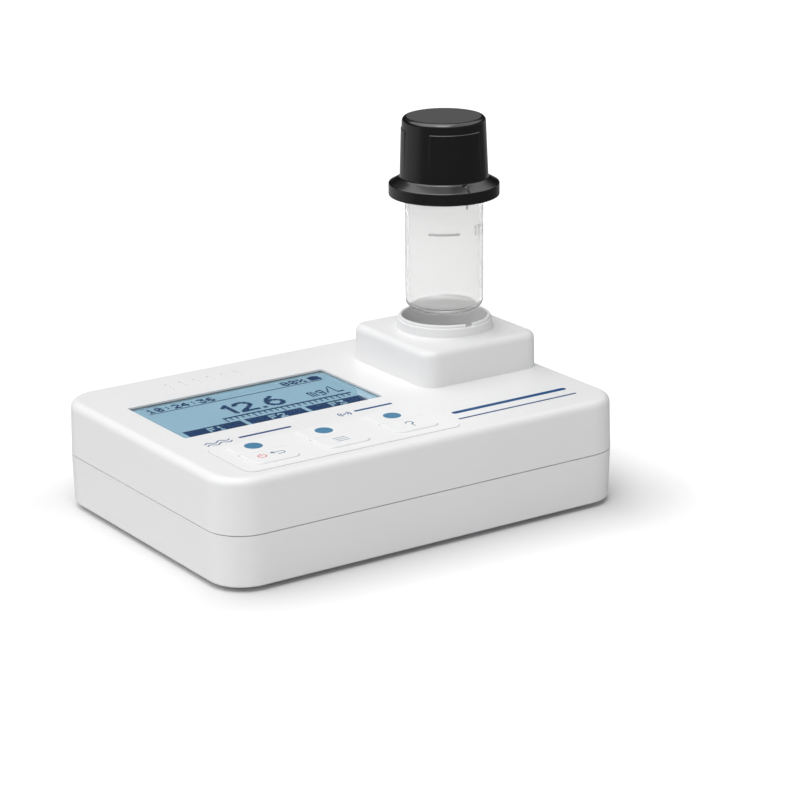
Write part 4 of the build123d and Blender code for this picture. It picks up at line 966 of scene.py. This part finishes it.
# %% Cap finish
DISC_RADIUS, DISC_BLUR = mm(11.6, 0.15)
DISC_COLOUR, DISC_ROUGHNESS = (0.028, 0.028, 0.029, 1), 0.62
cap_black = finish(
    "cap black", (0.006, 0.006, 0.0065), 0.2, grain=2500, depth=0.001, drift=0.1, wipe=0.06,
    Specular_IOR_Level=0.9,
)
tree = cap_black.node_tree
surface = tree.nodes["Principled BSDF"].inputs
from_axis = {"Vector": object_place(tree), "Location": (-well[0], -well[1], 0)}
centred = put(tree, "ShaderNodeMapping", from_axis).outputs[0]
along = put(tree, "ShaderNodeSeparateXYZ", {"Vector": centred}).outputs
level = put(tree, "ShaderNodeCombineXYZ", {"X": along["X"], "Y": along["Y"]}).outputs[0]
away = put(tree, "ShaderNodeVectorMath", {0: level}, operation="LENGTH").outputs["Value"]
in_disc = ramp(tree, away, DISC_RADIUS + DISC_BLUR, DISC_RADIUS, 0.0, 1.0)
on_top = ramp(tree, along["Z"], (cap_top - 0.2) * MM, (cap_top - 0.1) * MM, 0.0, 1.0)
disc = maths(tree, "MULTIPLY", in_disc, on_top)
print("matt disc of", round(2 * DISC_RADIUS / MM, 1), "mm")

# %% [markdown]
# The mask then mixes the colour and the roughness, and the cap is made with the result. A Mix
# node has a set of sockets for each type of value, so those for colours go by their number.

# %% Mix of the two finishes
polished_colour = surface["Base Color"].links[0].from_socket
polished_roughness = surface["Roughness"].links[0].from_socket
colour = put(tree, "ShaderNodeMix", data_type="RGBA")
FACTOR, FIRST_COLOUR, SECOND_COLOUR, MIXED_COLOUR = 0, 6, 7, 2
colour.inputs[SECOND_COLOUR].default_value = DISC_COLOUR
tree.links.new(disc, colour.inputs[FACTOR])
tree.links.new(polished_colour, colour.inputs[FIRST_COLOUR])
tree.links.new(colour.outputs[MIXED_COLOUR], surface["Base Color"])
rough = put(
    tree, "ShaderNodeMix", {"Factor": disc, "A": polished_roughness, "B": DISC_ROUGHNESS}
)
tree.links.new(rough.outputs[0], surface["Roughness"])
faces = grid_faces(*cap_points.shape[:2])
cap = new_piece("cap_turned", cap_points.reshape(-1, 3), faces, "cap", "cap_black", cap_black, 0.6)
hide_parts("cap")

# %% [markdown]
# ## Stage
# The table is a wide pale disc. Seen by the camera, it glows a little more with the distance from
# the case, so it is white away from the case and keeps the shadow beside it. Close to the case the
# glow is missing, so the floor there is darker even where no shadow falls: a painted shade round
# the case. Further out the glow paints light over the outer end of the cast shadow.

# %% Floor
FIRST_RING, FLOOR_RADIUS, RINGS, SPOKES = 0.05, 6.0, 24, 96
ring = np.concatenate([[0.0], np.geomspace(FIRST_RING, FLOOR_RADIUS, RINGS)])[:, None]
turn = np.linspace(0, TURN, SPOKES + 1)[:-1]
points = np.stack([ring * np.cos(turn), ring * np.sin(turn), 0 * ring * turn], -1).reshape(-1, 3)
faces = grid_faces(len(ring), len(turn))
floor_mesh = bpy.data.meshes.new("floor")
floor_mesh.from_pydata(points.tolist(), [], faces.tolist())
floor = bpy.data.objects.new("floor", floor_mesh)
bpy.context.scene.collection.objects.link(floor)
floor_white = finish(
    "floor white", (0.84, 0.84, 0.845), 0.9, grain=400, depth=0.01, drift=0.0,
    Specular_IOR_Level=0.1, Emission_Color=(1, 1, 1, 1),
)
floor_mesh.materials.append(floor_white)
print("floor of", 2 * FLOOR_RADIUS, "m")

# %% [markdown]
# The distance from the case is the length of what is left of |x| and |y| when the half sizes of
# the case are taken away, with nothing below zero. Only camera rays, also through the glass, see
# the glow, so it doesn't light the object.

# %% Glow of the open floor
INSET, GLOW = 0.01, 0.40
GLOW_START, GLOW_FULL = 0.012, 0.060
tree = floor_white.node_tree
surface = tree.nodes["Principled BSDF"].inputs
rays = put(tree, "ShaderNodeLightPath").outputs
seen = maths(tree, "MAXIMUM", rays["Is Camera Ray"], rays["Is Transmission Ray"])
distance = object_place(tree)
case_half = (case_corner.x - INSET, case_corner.y - INSET, 0)
for operation, term in (("ABSOLUTE", None), ("SUBTRACT", case_half), ("MAXIMUM", (0, 0, 0))):
    feeds = {0: distance} if term is None else {0: distance, 1: term}
    distance = put(tree, "ShaderNodeVectorMath", feeds, operation=operation).outputs[0]
length = put(tree, "ShaderNodeVectorMath", {0: distance}, operation="LENGTH").outputs["Value"]
# Painted shade and painted light: with no glow near the outline the floor round the case is darker,
# and the rising glow whitens the outer part of its shadow.
painted_shade_and_glow = ramp(tree, length, GLOW_START, GLOW_FULL, 0.0, GLOW)
tree.links.new(maths(tree, "MULTIPLY", seen, painted_shade_and_glow), surface["Emission Strength"])
print("the floor glows from", GLOW_START, "to", GLOW_FULL, "m beside the case")

# %% [markdown]
# Black gloss mirrors whatever stands round it. A white table would turn the cap grey, so the
# floor is dark to mirrored rays, and less so at its far end, which draws the edges of the cap.
# Rays that go through the glass are mirrored and transmitted at once, and are left out.

# %% Floor in the gloss
NEAR_SHADE, FAR_SHADE = 0.1, 0.45
NEAR_FLOOR, FAR_FLOOR = 0.05, 0.35
mirrored = maths(tree, "SUBTRACT", rays["Is Glossy Ray"], rays["Is Transmission Ray"])
floor_parts = put(tree, "ShaderNodeSeparateXYZ", {"Vector": object_place(tree)}).outputs
behind = ramp(tree, floor_parts["Y"], NEAR_FLOOR, FAR_FLOOR, NEAR_SHADE, FAR_SHADE)
dim = ramp(tree, mirrored, 0.0, 1.0, 1.0, behind)
floor_colour = surface["Base Color"].links[0].from_socket
dimmed = put(tree, "ShaderNodeVectorMath", {0: floor_colour, "Scale": dim}, operation="SCALE")
tree.links.new(dimmed.outputs["Vector"], surface["Base Color"])
print("mirrored, the floor keeps", NEAR_SHADE, "to", FAR_SHADE, "of its colour")

# %% [markdown]
# ## Light
# The camera sees a white world. After a ray has bounced off the object, the same world is a dim
# even light. To mirrored rays it is a dark room with a hood of light overhead, and a ray that
# leaves through the window upwards sees it darker too, so the display keeps its contrast.

# %% World
AMBIENT, ROOM, HOOD = 0.285, 0.1, 1.3
HOOD_START, HOOD_FULL = 0.34, 0.6
BACK_START, BACK_FULL = 0.25, 0.5
LOW_SKY, HIGH_SKY, HIGH_SKY_LEVEL = 0.1, 0.3, 0.3
world = bpy.data.worlds.new("studio")
bpy.context.scene.world = world
world.use_nodes = True
sky = world.node_tree
rays = put(sky, "ShaderNodeLightPath").outputs
direction = put(sky, "ShaderNodeTexCoord").outputs["Generated"]
ahead = put(sky, "ShaderNodeSeparateXYZ", {"Vector": direction}).outputs
hood = ramp(sky, ahead["Z"], HOOD_START, HOOD_FULL, ROOM, HOOD)
in_front = ramp(sky, ahead["Y"], BACK_START, BACK_FULL, 1.0, ROOM)
low_sky = ramp(sky, ahead["Z"], LOW_SKY, HIGH_SKY, 1.0, HIGH_SKY_LEVEL)
through_glass = maths(sky, "MULTIPLY", rays["Is Transmission Ray"], low_sky)
seen = maths(sky, "MAXIMUM", rays["Is Camera Ray"], through_glass)
softbox = maths(sky, "MULTIPLY", hood, in_front)
mirrored = maths(sky, "MULTIPLY", rays["Is Glossy Ray"], softbox)
direct = maths(sky, "MAXIMUM", seen, mirrored)
strength = {"Factor": rays["Diffuse Depth"], "A": direct, "B": AMBIENT}
level = put(sky, "ShaderNodeMix", strength).outputs[0]
background = sky.nodes["Background"].inputs
background["Color"].default_value = (1, 1, 1, 1)
sky.links.new(level, background["Strength"])
print("world: ambient", AMBIENT, "and a hood of", HOOD)

# %% [markdown]
# One broad lamp from the upper left gives the top its brightness, and a softbox near the camera
# opens the shadows. Both stand at a given place and look at the origin.

# %% Lamps
LAMP_FROM, LAMP_ENERGY, LAMP_ANGLE = Vector((-0.37, 0.23, 0.90)), 1.86, 80
BOX_FROM, BOX_POWER, BOX_SIDE = Vector((-0.30, -0.42, 0.86)), 2.5, 0.5


def add_lamp(name, kind, come_from, energy):
    """A lamp that shines from a place towards the origin. Returns its settings."""
    data = bpy.data.lights.new(name, kind)
    data.energy = energy
    lamp = bpy.data.objects.new(name, data)
    bpy.context.scene.collection.objects.link(lamp)
    lamp.location = come_from
    lamp.rotation_euler = come_from.to_track_quat("Z", "Y").to_euler()
    print(f"{name}: {kind} of {energy}")
    return data


add_lamp("broad_lamp", "SUN", LAMP_FROM, LAMP_ENERGY).angle = np.radians(LAMP_ANGLE)
top_softbox = add_lamp("top_softbox", "AREA", BOX_FROM, BOX_POWER)
top_softbox.shape, top_softbox.size = "SQUARE", BOX_SIDE

# %% [markdown]
# ## Camera
# The camera stands where the photographer stood. Its place was found by fitting a pinhole camera
# to the corners of the case, and the small shift keeps the picture's own middle.

# %% Camera
CAMERA_AZIMUTH, CAMERA_ELEVATION, CAMERA_ROLL = np.radians([-33.932, 18.258, -0.498])
CAMERA_DISTANCE = 878.51 * MM
CAMERA_TARGET = mm(22.915, 2.675, 20.118)
FOCAL_PIXELS, PICTURE = 2796.72, 800
CENTRE_PIXEL = (397.60, 423.82)

back = np.array(
    [
        np.sin(CAMERA_AZIMUTH) * np.cos(CAMERA_ELEVATION),
        -np.cos(CAMERA_AZIMUTH) * np.cos(CAMERA_ELEVATION),
        np.sin(CAMERA_ELEVATION),
    ]
)
level_right = np.array([np.cos(CAMERA_AZIMUTH), np.sin(CAMERA_AZIMUTH), 0.0])
level_up = np.cross(back, level_right)
right = level_right * np.cos(CAMERA_ROLL) + level_up * np.sin(CAMERA_ROLL)
up = level_up * np.cos(CAMERA_ROLL) - level_right * np.sin(CAMERA_ROLL)
camera_data = bpy.data.cameras.new("camera")
camera_data.sensor_width = 36.0
camera_data.lens = camera_data.sensor_width * FOCAL_PIXELS / PICTURE
camera_data.shift_x = 0.5 - CENTRE_PIXEL[0] / PICTURE
camera_data.shift_y = CENTRE_PIXEL[1] / PICTURE - 0.5
camera_data.clip_start, camera_data.clip_end = 0.01, 50.0
camera = bpy.data.objects.new("camera", camera_data)
bpy.context.scene.collection.objects.link(camera)
camera_pose = np.eye(4)
camera_pose[:3] = np.stack([right, up, back, CAMERA_TARGET + back * CAMERA_DISTANCE], 1)
camera.matrix_world = Matrix(camera_pose.tolist())
bpy.context.scene.camera = camera
bpy.context.scene.view_settings.view_transform = "Standard"
print("camera lens", round(camera_data.lens, 2), "mm")
